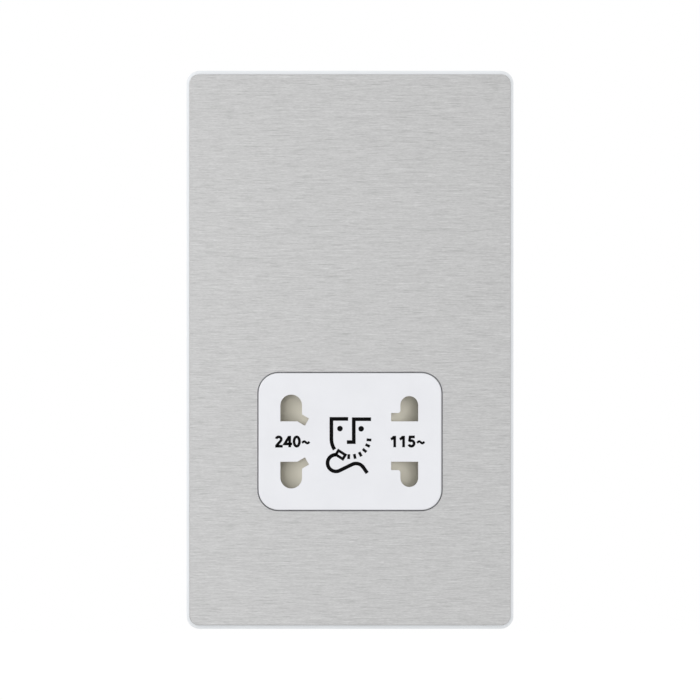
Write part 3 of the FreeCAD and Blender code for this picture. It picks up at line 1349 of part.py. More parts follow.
def check_and_write():
    """Stop on any failed object or bad shape, then write one file for each piece."""
    for item in doc.Objects:
        if "Invalid" in item.State or "Error" in item.State:
            raise ValueError(item.Label + " failed: " + str(item.State))
    for node in nodes:
        if node.Shape.isNull() or not node.Shape.isValid():
            raise ValueError(node.Label + " has a bad shape")
    os.makedirs("parts", exist_ok=True)
    for node in nodes:
        node.Shape.exportStep("parts/" + node.Label + ".step")
        print(node.Label, len(node.Shape.Solids), round(node.Shape.Volume, 2))


make_all()
check_and_write()
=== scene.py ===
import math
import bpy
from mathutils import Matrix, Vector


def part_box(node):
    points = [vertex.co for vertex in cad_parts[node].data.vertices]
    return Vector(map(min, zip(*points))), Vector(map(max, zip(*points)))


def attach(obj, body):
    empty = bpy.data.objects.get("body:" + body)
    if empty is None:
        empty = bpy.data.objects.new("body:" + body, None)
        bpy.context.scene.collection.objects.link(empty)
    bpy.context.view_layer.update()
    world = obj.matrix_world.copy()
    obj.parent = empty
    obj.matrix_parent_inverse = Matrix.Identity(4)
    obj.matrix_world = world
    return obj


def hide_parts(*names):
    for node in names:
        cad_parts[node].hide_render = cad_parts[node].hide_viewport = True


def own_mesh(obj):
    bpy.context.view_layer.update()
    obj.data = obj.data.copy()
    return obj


bl_info = {
    "name": "Shaver Socket Dressing",
    "version": (1, 0, 0),
    "blender": (4, 5, 0),
    "location": "3D View > Sidebar > Socket",
    "description": "Finishes, print and springs of a shaver supply socket, and the studio round it",
    "category": "Object",
}

import bmesh
import bpy
from bpy.props import FloatProperty, FloatVectorProperty, IntProperty, PointerProperty
from mathutils import Matrix, Vector

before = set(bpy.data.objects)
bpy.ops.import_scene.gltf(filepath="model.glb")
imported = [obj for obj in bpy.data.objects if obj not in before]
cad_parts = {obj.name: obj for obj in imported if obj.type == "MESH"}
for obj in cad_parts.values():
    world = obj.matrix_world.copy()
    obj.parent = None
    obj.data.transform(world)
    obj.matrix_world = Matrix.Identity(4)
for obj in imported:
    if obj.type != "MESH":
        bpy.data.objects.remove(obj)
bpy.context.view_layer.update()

MM = 0.001
FACE_LOW, FACE_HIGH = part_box("socket_face")
FACE_CENTRE = (FACE_LOW + FACE_HIGH) / 2
FACE_FRONT = FACE_LOW.y
PLATE_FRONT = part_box("front_plate")[0].y

# Numbered inputs and output of a Mix node that mixes colours
MIX_DARK, MIX_LIGHT, MIXED = 6, 7, 2
# Range in which nearly all values of a noise lie
NOISE_LOW, NOISE_HIGH = 0.3, 0.7
NOISE_RANGE = {"From Min": NOISE_LOW, "From Max": NOISE_HIGH}
# A Wave Texture at scale 1 repeats each time its place moves on by this much
WAVE_PERIOD = math.pi / 10

# Steps of the drawn and wound shapes. An arc's step is in degrees
ARC_STEP = 9
LEAST_ARC_STEPS = 6
WAVE_STEPS = 24
DOT_SIDES = 32
WIRE_SIDES = 8
STEPS_PER_TURN = 20
# A corner's mitre reaches no farther than half the stroke's width divided by this
LEAST_MITRE = 0.4
WELD_DISTANCE = 1e-7

# Camera and floor
SENSOR_MM = 36.0
CAMERA_RISE = -0.05 * MM
CLIP_END = 10.0
PAPER_GLOW = 1.02


# Colours and small tools

def srgb(code):
    """Linear colour of an sRGB hex value."""
    channels = []
    for start in (0, 2, 4):
        share = int(code[start:start + 2], 16) / 255
        linear = share / 12.92 if share <= 0.04045 else ((share + 0.055) / 1.055) ** 2.4
        channels.append(linear)
    return tuple(channels)


def rgba(colour, factor=1.0):
    """A colour made lighter or darker by a factor, with full alpha."""
    return tuple(min(1.0, channel * factor) for channel in colour[:3]) + (1.0,)


def add_node(tree, kind, inputs=None, **settings):
    """Add one node. An input given as a socket is linked, and anything else is set as its value."""
    node = tree.nodes.new(kind)
    for name, value in settings.items():
        setattr(node, name, value)
    for name, value in (inputs or {}).items():
        if isinstance(value, bpy.types.NodeSocket):
            tree.links.new(value, node.inputs[name])
        else:
            node.inputs[name].default_value = value
    return node


def new_material(name):
    """An empty node material, its tree, and the Object coordinates in millimetres."""
    material = bpy.data.materials.new(name)
    material.use_nodes = True
    tree = material.node_tree
    tree.nodes.clear()
    place = add_node(tree, "ShaderNodeTexCoord").outputs["Object"]
    in_mm = add_node(tree, "ShaderNodeVectorMath", {0: place, 1: (1 / MM, 1 / MM, 1 / MM)},
                     operation="MULTIPLY")
    return material, tree, in_mm.outputs[0]


def finish_material(tree, relief, depth_mm, inputs):
    """The shader with its relief, and the output."""
    bump = add_node(tree, "ShaderNodeBump", {"Height": relief, "Distance": depth_mm * MM})
    shader = add_node(tree, "ShaderNodeBsdfPrincipled", {"Normal": bump.outputs["Normal"],
                                                         **inputs})
    add_node(tree, "ShaderNodeOutputMaterial", {"Surface": shader.outputs["BSDF"]})


def grain(tree, place, size_mm, stretch=(1, 1, 1), detail=3.0):
    """Noise whose features are about size_mm across, made longer along any axis by its stretch."""
    scale = tuple(1 / (size_mm * factor) for factor in stretch)
    spread = add_node(tree, "ShaderNodeMapping", {"Vector": place, "Scale": scale})
    noise = add_node(tree, "ShaderNodeTexNoise", {"Vector": spread.outputs[0], "Scale": 1.0,
                                                  "Detail": detail, "Roughness": 0.55})
    return noise.outputs["Fac"]


def tinted(tree, value, colour, shade, start=NOISE_LOW, end=NOISE_HIGH):
    """A colour that turns from darker to lighter while a noise value runs from start to end."""
    factor = add_node(tree, "ShaderNodeMapRange", {"Value": value, "From Min": start,
                                                   "From Max": end})
    mix = add_node(tree, "ShaderNodeMix", {"Factor": factor.outputs["Result"],
                                           MIX_DARK: rgba(colour, 1 - shade),
                                           MIX_LIGHT: rgba(colour, 1 + shade)}, data_type="RGBA")
    return mix.outputs[MIXED]


def sight_rays(tree):
    """A value of 1 for rays that see or mirror a thing, and 0 for rays that gather its light."""
    rays = add_node(tree, "ShaderNodeLightPath").outputs
    seen = rays["Is Camera Ray"]
    for name in ("Is Glossy Ray", "Is Transmission Ray"):
        seen = add_node(tree, "ShaderNodeMath", {0: seen, 1: rays[name]},
                        operation="MAXIMUM").outputs[0]
    return seen


# Finishes. Brushing, spark texture and roll lines are really about 0.05 mm wide, too fine to show,
# so each is drawn as coarse as it needs to show

def brushed_steel(name, colour, grit_mm, streak):
    """Stainless sheet brushed across its width: fine level streaks and a few deep scratches."""
    material, tree, place = new_material(name)
    fine = grain(tree, place, grit_mm, (streak, 1, 1), 4.0)
    broad = grain(tree, place, grit_mm * 1.2, (streak * 5, 1, 1), 4.0)
    both = add_node(tree, "ShaderNodeMath", {0: fine, 1: broad}, operation="ADD").outputs[0]
    tone = tinted(tree, both, colour, 0.12, 0.75, 1.25)
    # The lowest values of a third noise darken to scratches, and its highest lighten to burrs
    scratch = grain(tree, place, grit_mm * 1.1, (streak * 4.5, 1, 1), 0.0)
    dark = add_node(tree, "ShaderNodeMapRange", {"Value": scratch,
                                                 "From Min": 0.22, "From Max": 0.34,
                                                 "To Min": 0.82, "To Max": 1.0})
    light = add_node(tree, "ShaderNodeMapRange", {"Value": scratch,
                                                  "From Min": 0.66, "From Max": 0.78,
                                                  "To Min": 1.0, "To Max": 1.1})
    depth = add_node(tree, "ShaderNodeMath", {0: dark.outputs["Result"],
                                              1: light.outputs["Result"]}, operation="MULTIPLY")
    scratched = add_node(tree, "ShaderNodeVectorMath", {0: tone, "Scale": depth.outputs[0]},
                         operation="SCALE")
    gloss = add_node(tree, "ShaderNodeMapRange", {"Value": broad, **NOISE_RANGE,
                                                  "To Min": 0.34, "To Max": 0.42})
    finish_material(tree, both, 0.006, {"Base Color": scratched.outputs[0], "Metallic": 1.0,
                                        "Roughness": gloss.outputs["Result"]})
    return material


def moulded_plastic(name, colour, roughness, grit_mm=0.35, depth_mm=0.004, shade=0.015):
    """Injection moulded plastic: even colour, a fine spark texture and a soft gloss."""
    material, tree, place = new_material(name)
    fine = grain(tree, place, grit_mm)
    # Faint clouds 9 mm across, so that a large face isn't one flat tone
    cloud = grain(tree, place, 9.0, detail=2.0)
    tone = tinted(tree, cloud, colour, shade)
    gloss = add_node(tree, "ShaderNodeMapRange", {"Value": fine, **NOISE_RANGE,
                                                  "To Min": roughness - 0.04,
                                                  "To Max": roughness + 0.04})
    finish_material(tree, fine, depth_mm, {"Base Color": tone, "Roughness": gloss.outputs["Result"],
                                           "IOR": 1.5})
    return material


def rolled_metal(name, colour, roughness, along=(1, 6, 1)):
    """Rolled or drawn bare metal: faint lines along the strip."""
    material, tree, place = new_material(name)
    lines = grain(tree, place, 0.25, along)
    tone = tinted(tree, lines, colour, 0.08)
    gloss = add_node(tree, "ShaderNodeMapRange", {"Value": lines, **NOISE_RANGE,
                                                  "To Min": roughness - 0.06,
                                                  "To Max": roughness + 0.06})
    finish_material(tree, lines, 0.004, {"Base Color": tone, "Metallic": 1.0,
                                         "Roughness": gloss.outputs["Result"]})
    return material


def banded(name, colour, dark, pitch_mm, axis, metallic, roughness, depth_mm):
    """A surface of equal narrow bands along one axis, such as stacked sheets or turns of wire."""
    material, tree, place = new_material(name)
    bands = add_node(tree, "ShaderNodeTexWave", {"Vector": place, "Scale": WAVE_PERIOD / pitch_mm,
                                                 "Distortion": 0.4, "Detail": 1.0},
                     bands_direction=axis).outputs["Fac"]
    mix = add_node(tree, "ShaderNodeMix", {"Factor": bands, MIX_DARK: rgba(dark),
                                           MIX_LIGHT: rgba(colour)}, data_type="RGBA")
    finish_material(tree, bands, depth_mm, {"Base Color": mix.outputs[MIXED], "Metallic": metallic,
                                            "Roughness": roughness})
    return material


def printed_ink(colour):
    """Pad-printed black ink: nearly flat, a little matt, with a faint mottle. It is made once."""
    made = bpy.data.materials.get("pad_printed_ink")
    if made:
        return made
    material, tree, place = new_material("pad_printed_ink")
    mottle = grain(tree, place, 0.12)
    tone = tinted(tree, mottle, colour, 0.2)
    finish_material(tree, mottle, 0.002, {"Base Color": tone, "Roughness": 0.7,
                                          "Specular IOR Level": 0.08})
    return material


def dress(material, *names):
    """Give CAD nodes their finish."""
    for name in names:
        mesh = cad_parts[name].data
        mesh.materials.clear()
        mesh.materials.append(material)


def sort_faces(bm):
    """Put faces in the order of their corners, as spinning and extruding leave them in any order."""
    bm.verts.index_update()
    count = len(bm.verts)

    def rank(face):
        first, second, third = sorted(vert.index for vert in face.verts)[:3]
        return (first * count + second) * count + third

    bm.faces.sort(key=rank)


def add_piece(bm, name, material):
    """Make a mesh object of a bmesh, at the origin, with its finish, that rides on the socket."""
    bmesh.ops.remove_doubles(bm, verts=bm.verts, dist=WELD_DISTANCE)
    bmesh.ops.recalc_face_normals(bm, faces=bm.faces)
    sort_faces(bm)
    mesh = bpy.data.meshes.new(name)
    bm.to_mesh(mesh)
    bm.free()
    mesh.materials.append(material)
    piece = bpy.data.objects.new(name, mesh)
    bpy.context.scene.collection.objects.link(piece)
    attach(piece, "socket")
    return piece


# Strokes of the print, in the plane of the face: X across and Z up

def arc(centre, radius, first, last, tall=1.0):
    """Points along an arc from one angle to another. Its height over its width is given by tall."""
    steps = max(LEAST_ARC_STEPS, round(abs(last - first) / ARC_STEP))
    points = []
    for step in range(steps + 1):
        angle = math.radians(first + (last - first) * step / steps)
        points.append((centre[0] + radius * math.cos(angle),
                       centre[1] + radius * tall * math.sin(angle)))
    return points


def wave(start, length, height, turns):
    """Points along a level wave that rises first, as in the sign for alternating current."""
    points = []
    for step in range(WAVE_STEPS + 1):
        share = step / WAVE_STEPS
        points.append((start[0] + length * step / WAVE_STEPS,
                       start[1] - height * math.sin(math.tau * turns * (share - 0.5))))
    return points


def ribbon(bm, path, width, depth, closed=False):
    """A flat stroke of even width along a path, mitred at its corners and sunk half its depth."""
    points = [Vector(point) for point in path]
    rows = []
    for index, point in enumerate(points):
        before = points[index - 1] if closed or index else None
        after = points[(index + 1) % len(points)] if closed or index + 1 < len(points) else None
        inward = (point - before).normalized() if before else (after - point).normalized()
        outward = (after - point).normalized() if after else inward
        side = (inward + outward).normalized().orthogonal()
        reach = side * width / 2 / max(LEAST_MITRE, side.dot(inward.orthogonal()))
        rows.append([bm.verts.new((spot.x, depth / 2, spot.y))
                     for spot in (point + reach, point - reach)])
    following = rows[1:] + rows[:1] if closed else rows[1:]
    faces = [bm.faces.new((a, b, c, d)) for (a, b), (d, c) in zip(rows, following)]
    raised = bmesh.ops.extrude_face_region(bm, geom=faces)["geom"]
    tops = [item for item in raised if isinstance(item, bmesh.types.BMVert)]
    bmesh.ops.translate(bm, verts=tops, vec=(0, -depth, 0))


def dot(bm, centre, radius, depth):
    """A round spot."""
    upright = Matrix.Rotation(math.radians(90), 4, "X")
    place = Matrix.Translation((centre[0], 0, centre[1])) @ upright
    bmesh.ops.create_cone(bm, cap_ends=True, segments=DOT_SIDES, radius1=radius, radius2=radius,
                          depth=depth, matrix=place)


# Figures in shares of their height: how far each reaches across, its share of the stroke's width,
# then its strokes
FIGURES = {
    "0": (0.777, 1.0, [arc((0.388, 0.5), 0.238, 0, 351, 1.72)]),
    "1": (0.777, 1.0, [[(0.455, 0), (0.455, 1)], [(0.12, 0.70), (0.27, 0.77), (0.40, 0.93)]]),
    "2": (0.777, 1.0, [arc((0.365, 0.70), 0.225, 168, -38, 0.94) + [(0.13, 0.09)],
                       [(0.06, 0.09), (0.71, 0.09)]]),
    "4": (0.777, 1.0, [[(0.55, 0), (0.55, 1)], [(0.76, 0.29), (0.11, 0.29), (0.51, 0.94)]]),
    "5": (0.777, 1.0, [[(0.66, 0.905), (0.245, 0.905), (0.185, 0.50)],
                       arc((0.36, 0.335), 0.24, 142, -158, 1.02)]),
    "~": (0.816, 0.85, [wave((0.08, 0.43), 0.65, 0.08, 1.2)]),
}

# Pictogram in millimetres from its middle: brow with cheek, brow with nose, eyes, stubble along
# the chin, and a shaver with its lead
CHEEK = [(-0.36, 5.95), (-4.76, 5.95)] + arc((0.43, 0.72), 5.19, 180, 213)
NOSE = [(5.66, 5.87), (1.12, 5.87), (1.12, -0.15), (-0.70, -0.15)]
EYES = ((-2.51, 3.40), (3.06, 3.35))
EYE_RADIUS = 0.73
# Middle of each hair, and how many degrees it points down
STUBBLE = ((5.11, 0.43, 5), (4.77, -1.04, 27), (3.96, -2.35, 42), (2.83, -3.33, 62),
           (1.38, -3.90, 78), (-0.20, -3.96, 93))
HAIR_HALF = 0.63
SHAVER_MIDDLE = Vector((-2.34, -3.47))
SHAVER_ALONG = Vector((0.841, -0.541)) * 1.08
SHAVER_ACROSS = Vector((-0.541, -0.841)) * 0.64
SHAVER_LEAD = arc((-3.57, -5.65), 2.2, 80, 296) + arc((1.72, -8.07), 2.3, 116, 35) + [(4.66, -8.27)]


def write_figures(bm, words, middle, height, stroke, depth):
    """Set figures side by side about a middle point."""
    across = middle[0] - sum(FIGURES[sign][0] for sign in words) * height / 2
    low = middle[1] - height / 2
    for sign in words:
        advance, share, paths = FIGURES[sign]
        for path in paths:
            spots = [(across + x * height, low + z * height) for x, z in path]
            ribbon(bm, spots, stroke * share, depth, closed=sign == "0")
        across += advance * height


# Settings a user may change

class FaceSettings(bpy.types.PropertyGroup):
    figure_height: FloatProperty(
        name="Figure height", description="Height of the voltage figures",
        default=3.0 * MM, unit="LENGTH", precision=5)
    figure_stroke: FloatProperty(
        name="Figure stroke", description="Width of a figure's strokes",
        default=0.7 * MM, unit="LENGTH", precision=5)
    figure_offset: FloatProperty(
        name="Figure offset", description="Middle of each group from the face's middle",
        default=15.1 * MM, unit="LENGTH", precision=5)
    sign_stroke: FloatProperty(
        name="Sign stroke", description="Width of the pictogram's lines",
        default=0.96 * MM, unit="LENGTH", precision=5)
    sign_offset: FloatProperty(
        name="Sign offset", description="How far the pictogram stands right of the middle",
        default=-0.13 * MM, unit="LENGTH", precision=5)
    fine_stroke: FloatProperty(
        name="Fine stroke", description="Width of its stubble and of the shaver's outline",
        default=0.72 * MM, unit="LENGTH", precision=5)
    ink_depth: FloatProperty(
        name="Ink depth", description="Thickness of the printed ink",
        default=0.03 * MM, unit="LENGTH", precision=6)
    ink: FloatVectorProperty(
        name="Ink", description="Colour of the print",
        subtype="COLOR", default=srgb("050506"))
    white: FloatVectorProperty(
        name="Face white", description="Colour of the moulded face",
        subtype="COLOR", default=srgb("e9eaee"))
    frame_white: FloatVectorProperty(
        name="Frame white", description="Colour of the moulded frame",
        subtype="COLOR", default=srgb("e9ecef"))
    shutter: FloatVectorProperty(
        name="Shutter", description="Colour of the shutters",
        subtype="COLOR", default=srgb("e5e0cf"))


class SteelSettings(bpy.types.PropertyGroup):
    colour: FloatVectorProperty(
        name="Steel", description="Colour of the brushed plate",
        subtype="COLOR", default=srgb("bdbdbd"))
    grit: FloatProperty(
        name="Grit", description="Width of a brushed streak",
        default=0.14 * MM, unit="LENGTH", precision=5)
    streak: FloatProperty(
        name="Streak", description="Length of a streak over its width", default=5.5)


class SpringSettings(bpy.types.PropertyGroup):
    turns: IntProperty(
        name="Turns", description="Turns of each shutter spring", default=11)
    wire: FloatProperty(
        name="Wire", description="Diameter of the spring wire",
        default=0.45 * MM, unit="LENGTH", precision=5)


class StudioSettings(bpy.types.PropertyGroup):
    lens: FloatProperty(
        name="Lens", description="Focal length in millimetres", default=400.0)
    view_width: FloatProperty(
        name="View width", description="Width seen at the plate's face",
        default=0.18396, unit="LENGTH", precision=5)
    floor_width: FloatProperty(
        name="Floor width", description="Side of the square floor",
        default=3.0, unit="LENGTH")
    floor_drop: FloatProperty(
        name="Floor drop", description="How far the floor lies below the wall plate's middle",
        default=0.13, unit="LENGTH")
    left_power: FloatProperty(
        name="Left lamp", description="Power of the left soft lamp", default=4.2, unit="POWER")
    right_power: FloatProperty(
        name="Right lamp", description="Power of the right soft lamp", default=1.7, unit="POWER")
    front_power: FloatProperty(
        name="Front lamp", description="Power of the small front lamp", default=0.85, unit="POWER")
    sky: FloatProperty(
        name="Sky", description="Strength of the even light", default=0.84)


# Area lamps: the place and side of each in metres, and the setting that holds its power. The front
# lamp stands a little left of the camera, so that its sheen on the steel fades to the right
LAMPS = (
    ("lamp_left", (-1.3, -0.6, 0.5), 0.8, "left_power"),
    ("lamp_right", (1.0, -1.3, 0.4), 0.8, "right_power"),
    ("lamp_front", (-0.36, -1.3, 0.0), 0.3, "front_power"),
)


# Pieces

class SOCKET_OT_steel_plate(bpy.types.Operator):
    """Brushed steel on the front plate"""
    bl_idname = "socket.steel_plate"
    bl_label = "Steel plate"

    def execute(self, context):
        steel = context.scene.socket_steel
        # Brushed stainless sheet: level streaks, a soft grey sheen and no clear mirror image
        brushed = brushed_steel("brushed_stainless_sheet", steel.colour, steel.grit / MM,
                                steel.streak)
        dress(brushed, "front_plate")
        return {"FINISHED"}


class SOCKET_OT_white_mouldings(bpy.types.Operator):
    """White plastic on the frame and the socket face, and black on the clip carrier"""
    bl_idname = "socket.white_mouldings"
    bl_label = "White mouldings"

    def execute(self, context):
        face = context.scene.socket_face
        # Polycarbonate: a neutral white with a satin gloss off a spark-eroded mould
        dress(moulded_plastic("polycarbonate_white", face.frame_white, roughness=0.42),
              "mounting_frame")
        # Urea resin: a slightly cold white, denser and glossier than the frame
        dress(moulded_plastic("urea_white", face.white, roughness=0.36, grit_mm=0.3,
                              depth_mm=0.003), "socket_face")
        # Black nylon: matt, with a faint grain
        dress(moulded_plastic("nylon_black", srgb("2a2a2c"), roughness=0.5), "clip_carrier")
        return {"FINISHED"}


class SOCKET_OT_shutters(bpy.types.Operator):
    """Beige nylon on the two shutters"""
    bl_idname = "socket.shutters"
    bl_label = "Shutters"

    def execute(self, context):
        face = context.scene.socket_face
        # Unpolished nylon: warm, matt and slightly uneven in tone
        beige = moulded_plastic("nylon_beige", face.shutter, roughness=0.5, grit_mm=0.4,
                                depth_mm=0.006, shade=0.03)
        dress(beige, "shutter_240", "shutter_115")
        return {"FINISHED"}


class SOCKET_OT_springs(bpy.types.Operator):
    """Wound wire springs behind the face, one for each shutter"""
    bl_idname = "socket.springs"
    bl_label = "Shutter springs"

    def execute(self, context):
        spring = context.scene.socket_spring
        # Drawn spring wire: bright, smooth and a little streaked along its turns
        wire = rolled_metal("spring_steel_wire", srgb("b9b9b6"), roughness=0.28)
        for side, name in ((-1, "240"), (1, "115")):
            low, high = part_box("shutter_spring_" + name)
            radius = (high.z - low.z) / 2 - spring.wire / 2
            length = high.x - low.x - spring.wire
            middle = (low + high) / 2
            bm = bmesh.new()
            ring = bmesh.ops.create_circle(bm, cap_ends=False, segments=WIRE_SIDES,
                                           radius=spring.wire / 2)["verts"]
            bmesh.ops.rotate(bm, verts=ring, cent=(0, 0, 0),
                             matrix=Matrix.Rotation(math.radians(90), 3, "X"))
            start = Vector((low.x + spring.wire / 2, middle.y, middle.z + radius))
            bmesh.ops.translate(bm, verts=ring, vec=start)
            steps = spring.turns * STEPS_PER_TURN
            bmesh.ops.spin(bm, geom=bm.verts[:] + bm.edges[:], cent=middle, axis=(1, 0, 0),
                           dvec=(length / steps, 0, 0), angle=math.tau * spring.turns, steps=steps,
                           use_merge=False)
            ends = [edge for edge in bm.edges if edge.is_boundary]
            bmesh.ops.holes_fill(bm, edges=ends, sides=WIRE_SIDES)
            piece = add_piece(bm, "wound_spring_" + name, wire)
            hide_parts("shutter_spring_" + name)
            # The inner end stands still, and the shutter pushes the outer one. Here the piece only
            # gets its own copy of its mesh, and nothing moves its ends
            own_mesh(piece)
        return {"FINISHED"}


class SOCKET_OT_figures(bpy.types.Operator):
    """Printed voltage figures beside the pin holes"""
    bl_idname = "socket.figures"
    bl_label = "Voltage figures"

    def execute(self, context):
        face = context.scene.socket_face
        bm = bmesh.new()
        for words, side in (("240~", -1), ("115~", 1)):
            write_figures(bm, words, (face.figure_offset * side, FACE_CENTRE.z), face.figure_height,
                          face.figure_stroke, face.ink_depth * 2)
        bmesh.ops.translate(bm, vec=(0, FACE_FRONT, 0), verts=bm.verts)
        add_piece(bm, "voltage_figures", printed_ink(face.ink))
        return {"FINISHED"}


class SOCKET_OT_pictogram(bpy.types.Operator):
    """Printed shaver pictogram in the middle of the face"""
    bl_idname = "socket.pictogram"
    bl_label = "Pictogram"

    def execute(self, context):
        face = context.scene.socket_face
        depth = face.ink_depth * 2 / MM
        line = face.sign_stroke / MM
        fine = face.fine_stroke / MM
        bm = bmesh.new()
        ribbon(bm, CHEEK, line, depth)
        ribbon(bm, NOSE, line, depth)
        for eye in EYES:
            dot(bm, eye, EYE_RADIUS, depth)
        for x, z, tilt in STUBBLE:
            angle = math.radians(-tilt)
            hair = Vector((math.cos(angle), math.sin(angle))) * HAIR_HALF
            ribbon(bm, [Vector((x, z)) - hair, Vector((x, z)) + hair], fine, depth)
        outline = [SHAVER_MIDDLE + SHAVER_ALONG * a + SHAVER_ACROSS * b
                   for a, b in ((-1, -1), (1, -1), (1, 1), (-1, 1))]
        ribbon(bm, outline, fine, depth, closed=True)
        ribbon(bm, SHAVER_LEAD, line, depth)
        bmesh.ops.scale(bm, vec=(MM, MM, MM), verts=bm.verts)
        bmesh.ops.translate(bm, vec=(face.sign_offset, FACE_FRONT, FACE_CENTRE.z), verts=bm.verts)
        add_piece(bm, "shaver_pictogram", printed_ink(face.ink))
        return {"FINISHED"}


class SOCKET_OT_contacts(bpy.types.Operator):
    """Bronze and brass on the contacts, the switch and the terminals"""
    bl_idname = "socket.contacts"
    bl_label = "Contacts and terminals"

    def execute(self, context):
        # Phosphor bronze: a reddish gold strip with fine lines from the rolls
        bronze = rolled_metal("phosphor_bronze_strip", srgb("c99a66"), roughness=0.32)
        dress(bronze, "contact_240_upper", "contact_240_lower", "contact_115_upper",
              "contact_115_lower", "contact_link", "switch_leaf_240", "switch_leaf_115")
        # Machined brass: yellow and bright, with turning marks
        brass = rolled_metal("machined_brass", srgb("cfb170"), roughness=0.3, along=(1, 1, 5))
        dress(brass, "terminal_live", "terminal_neutral", "terminal_earth")
        return {"FINISHED"}


class SOCKET_OT_transformer(bpy.types.Operator):
    """Laminations, windings, tape, bobbin, cut-out and steelwork of the transformer"""
    bl_idname = "socket.transformer"
    bl_label = "Transformer"

    def execute(self, context):
        # Stamped silicon steel sheets 0.5 mm thick: the stack's edges as thin dark and grey bands
        sheets = banded("silicon_steel_stack", srgb("6e6d6c"), srgb("39383a"), pitch_mm=0.5,
                        axis="Y", metallic=0.8, roughness=0.45, depth_mm=0.05)
        dress(sheets, "core_e_laminations", "core_i_laminations")
        # Enamelled copper wire 0.4 mm thick: close level turns, with painted shade as deep red
        # between the turns and a painted highlight as their bright crests
        turns = banded("enamelled_copper_wire", srgb("b4632e"), srgb("6b2f14"), pitch_mm=0.4,
                       axis="Z", metallic=0.9, roughness=0.3, depth_mm=0.08)
        dress(turns, "primary_winding", "secondary_winding")
        # Polyester tape: yellow, smooth and glossy
        dress(moulded_plastic("polyester_tape", srgb("d8b13a"), roughness=0.25),
              "primary_tape", "secondary_tape")
        # Undyed nylon of the bobbin, and black phenolic of the cut-out: matt and even
        dress(moulded_plastic("nylon_natural", srgb("dedbd0"), roughness=0.5), "bobbin")
        dress(moulded_plastic("phenolic_black", srgb("1d1d1e"), roughness=0.4), "thermal_cutout")
        # Zinc plated steel: a cool silver, softly reflecting
        zinc = rolled_metal("zinc_plated_steel", srgb("bfc1bd"), roughness=0.38)
        dress(zinc, "core_clamp", "earth_clip", "housing_screws", "body_screws", "clamp_screws",
              "terminal_screws")
        return {"FINISHED"}


class SOCKET_OT_housing(bpy.types.Operator):
    """Plastic of the socket body, its cover, the rear housing and the terminal block"""
    bl_idname = "socket.housing"
    bl_label = "Housing"

    def execute(self, context):
        # Grey polycarbonate of the housing: satin, with a grain that shows in raking light
        dress(moulded_plastic("polycarbonate_grey", srgb("d3d4d2"), roughness=0.45, grit_mm=0.5,
                              depth_mm=0.01), "rear_housing")
        # Cream urea resin: hard, smooth and slightly glossy
        dress(moulded_plastic("urea_cream", srgb("e6e3d8"), roughness=0.4),
              "socket_body", "contact_cover", "terminal_block")
        return {"FINISHED"}


class SOCKET_OT_leads(bpy.types.Operator):
    """Insulation of the leads inside the housing"""
    bl_idname = "socket.leads"
    bl_label = "Leads"

    def execute(self, context):
        # Extruded PVC: even colours with a soft shine
        for name, code, leads in (("pvc_brown", "5b3420", ("lead_live", "lead_switch")),
                                  ("pvc_blue", "2a5fae", ("lead_neutral",)),
                                  ("pvc_white", "dedcd4", ("lead_240", "lead_115", "lead_common"))):
            dress(moulded_plastic(name, srgb(code), roughness=0.35, grit_mm=0.2), *leads)
        # Earth lead: PVC in two colours, as stripes 4 mm apart
        stripes = banded("pvc_green_yellow", srgb("e0cf2c"), srgb("2f8b3c"), pitch_mm=4.0,
                         axis="Z", metallic=0.0, roughness=0.35, depth_mm=0.0)
        dress(stripes, "lead_earth")
        return {"FINISHED"}


# Studio

def add_floor(scene, studio):
    """A floor of white paper: lit like any paper, but white where it is looked at or mirrored."""
    material, tree, _ = new_material("white_paper")
    paper = add_node(tree, "ShaderNodeBsdfDiffuse", {"Color": rgba(srgb("f4f4f4"))})
    glow = add_node(tree, "ShaderNodeEmission", {"Color": (1, 1, 1, 1), "Strength": PAPER_GLOW})
    mix = add_node(tree, "ShaderNodeMixShader", {0: sight_rays(tree), 1: paper.outputs[0],
                                                 2: glow.outputs[0]})
    add_node(tree, "ShaderNodeOutputMaterial", {"Surface": mix.outputs[0]})
    bm = bmesh.new()
    bmesh.ops.create_grid(bm, x_segments=2, y_segments=2, size=studio.floor_width / 2,
                          matrix=Matrix.Translation((0, 0, -studio.floor_drop)))
    mesh = bpy.data.meshes.new("floor")
    bm.to_mesh(mesh)
    bm.free()
    mesh.materials.append(material)
    floor = bpy.data.objects.new("floor", mesh)
    scene.collection.objects.link(floor)


def light_world(scene, studio):
    """Even light from all round, which is white where it is looked at or mirrored."""
    world = bpy.data.worlds.new("even_light")
    world.use_nodes = True
    scene.world = world
    tree = world.node_tree
    tree.nodes.clear()
    strength = add_node(tree, "ShaderNodeMapRange", {"Value": sight_rays(tree),
                                                     "To Min": studio.sky, "To Max": 1.0})
    light = add_node(tree, "ShaderNodeBackground", {"Color": (1, 1, 1, 1),
                                                    "Strength": strength.outputs[0]})
    add_node(tree, "ShaderNodeOutputWorld", {"Surface": light.outputs[0]})


def add_lamps(scene, studio):
    """Soft lamps that face the middle of the plate."""
    for name, spot, side, power in LAMPS:
        lamp = bpy.data.lights.new(name, "AREA")
        lamp.shape = "SQUARE"
        lamp.size = side
        lamp.energy = getattr(studio, power)
        holder = bpy.data.objects.new(name, lamp)
        holder.location = spot
        holder.rotation_euler = (-Vector(spot)).to_track_quat("-Z", "Y").to_euler()
        scene.collection.objects.link(holder)


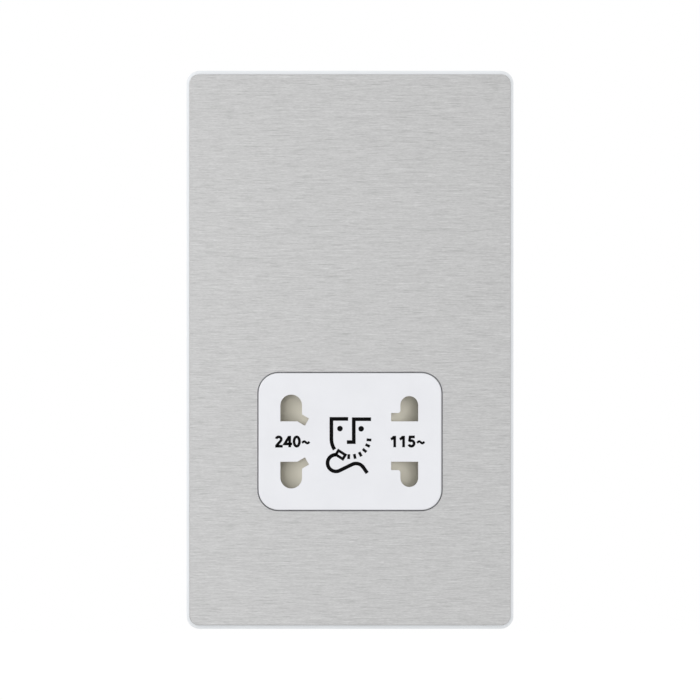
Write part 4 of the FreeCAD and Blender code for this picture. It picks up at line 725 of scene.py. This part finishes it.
def add_camera(scene, studio):
    """A camera straight in front, far enough off for its view width at the plate's face."""
    camera = bpy.data.cameras.new("camera")
    camera.lens = studio.lens
    camera.sensor_width = SENSOR_MM
    camera.clip_end = CLIP_END
    holder = bpy.data.objects.new("camera", camera)
    distance = studio.view_width * studio.lens / SENSOR_MM
    holder.location = (0, PLATE_FRONT - distance, CAMERA_RISE)
    holder.rotation_euler = (math.radians(90), 0, 0)
    scene.collection.objects.link(holder)
    scene.camera = holder


class SOCKET_OT_studio(bpy.types.Operator):
    """White studio: floor, even light, soft lamps and the camera straight in front"""
    bl_idname = "socket.studio"
    bl_label = "Studio"

    def execute(self, context):
        for build in (add_floor, light_world, add_lamps, add_camera):
            build(context.scene, context.scene.socket_studio)
        context.scene.view_settings.view_transform = "Standard"
        return {"FINISHED"}


class SOCKET_PT_panel(bpy.types.Panel):
    """Buttons and settings of the shaver socket"""
    bl_idname = "SOCKET_PT_panel"
    bl_label = "Shaver socket"
    bl_space_type = "VIEW_3D"
    bl_region_type = "UI"
    bl_category = "Socket"

    def draw(self, context):
        for operator in OPERATORS:
            self.layout.operator(operator.bl_idname)
        for group in SETTINGS:
            settings = getattr(context.scene, group)
            for name in settings.__annotations__:
                self.layout.prop(settings, name)


SETTINGS = {
    "socket_face": FaceSettings,
    "socket_steel": SteelSettings,
    "socket_spring": SpringSettings,
    "socket_studio": StudioSettings,
}
OPERATORS = (
    SOCKET_OT_studio,
    SOCKET_OT_steel_plate,
    SOCKET_OT_white_mouldings,
    SOCKET_OT_shutters,
    SOCKET_OT_springs,
    SOCKET_OT_figures,
    SOCKET_OT_pictogram,
    SOCKET_OT_contacts,
    SOCKET_OT_transformer,
    SOCKET_OT_housing,
    SOCKET_OT_leads,
)


def register():
    for group in SETTINGS.values():
        bpy.utils.register_class(group)
    for operator in OPERATORS:
        bpy.utils.register_class(operator)
    bpy.utils.register_class(SOCKET_PT_panel)
    for name, group in SETTINGS.items():
        setattr(bpy.types.Scene, name, PointerProperty(type=group))


def unregister():
    for name in SETTINGS:
        delattr(bpy.types.Scene, name)
    bpy.utils.unregister_class(SOCKET_PT_panel)
    for operator in reversed(OPERATORS):
        bpy.utils.unregister_class(operator)
    for group in SETTINGS.values():
        bpy.utils.unregister_class(group)


def main():
    register()
    for operator in OPERATORS:
        category, name = operator.bl_idname.split(".")
        getattr(getattr(bpy.ops, category), name)()


if __name__ == "__main__":
    main()
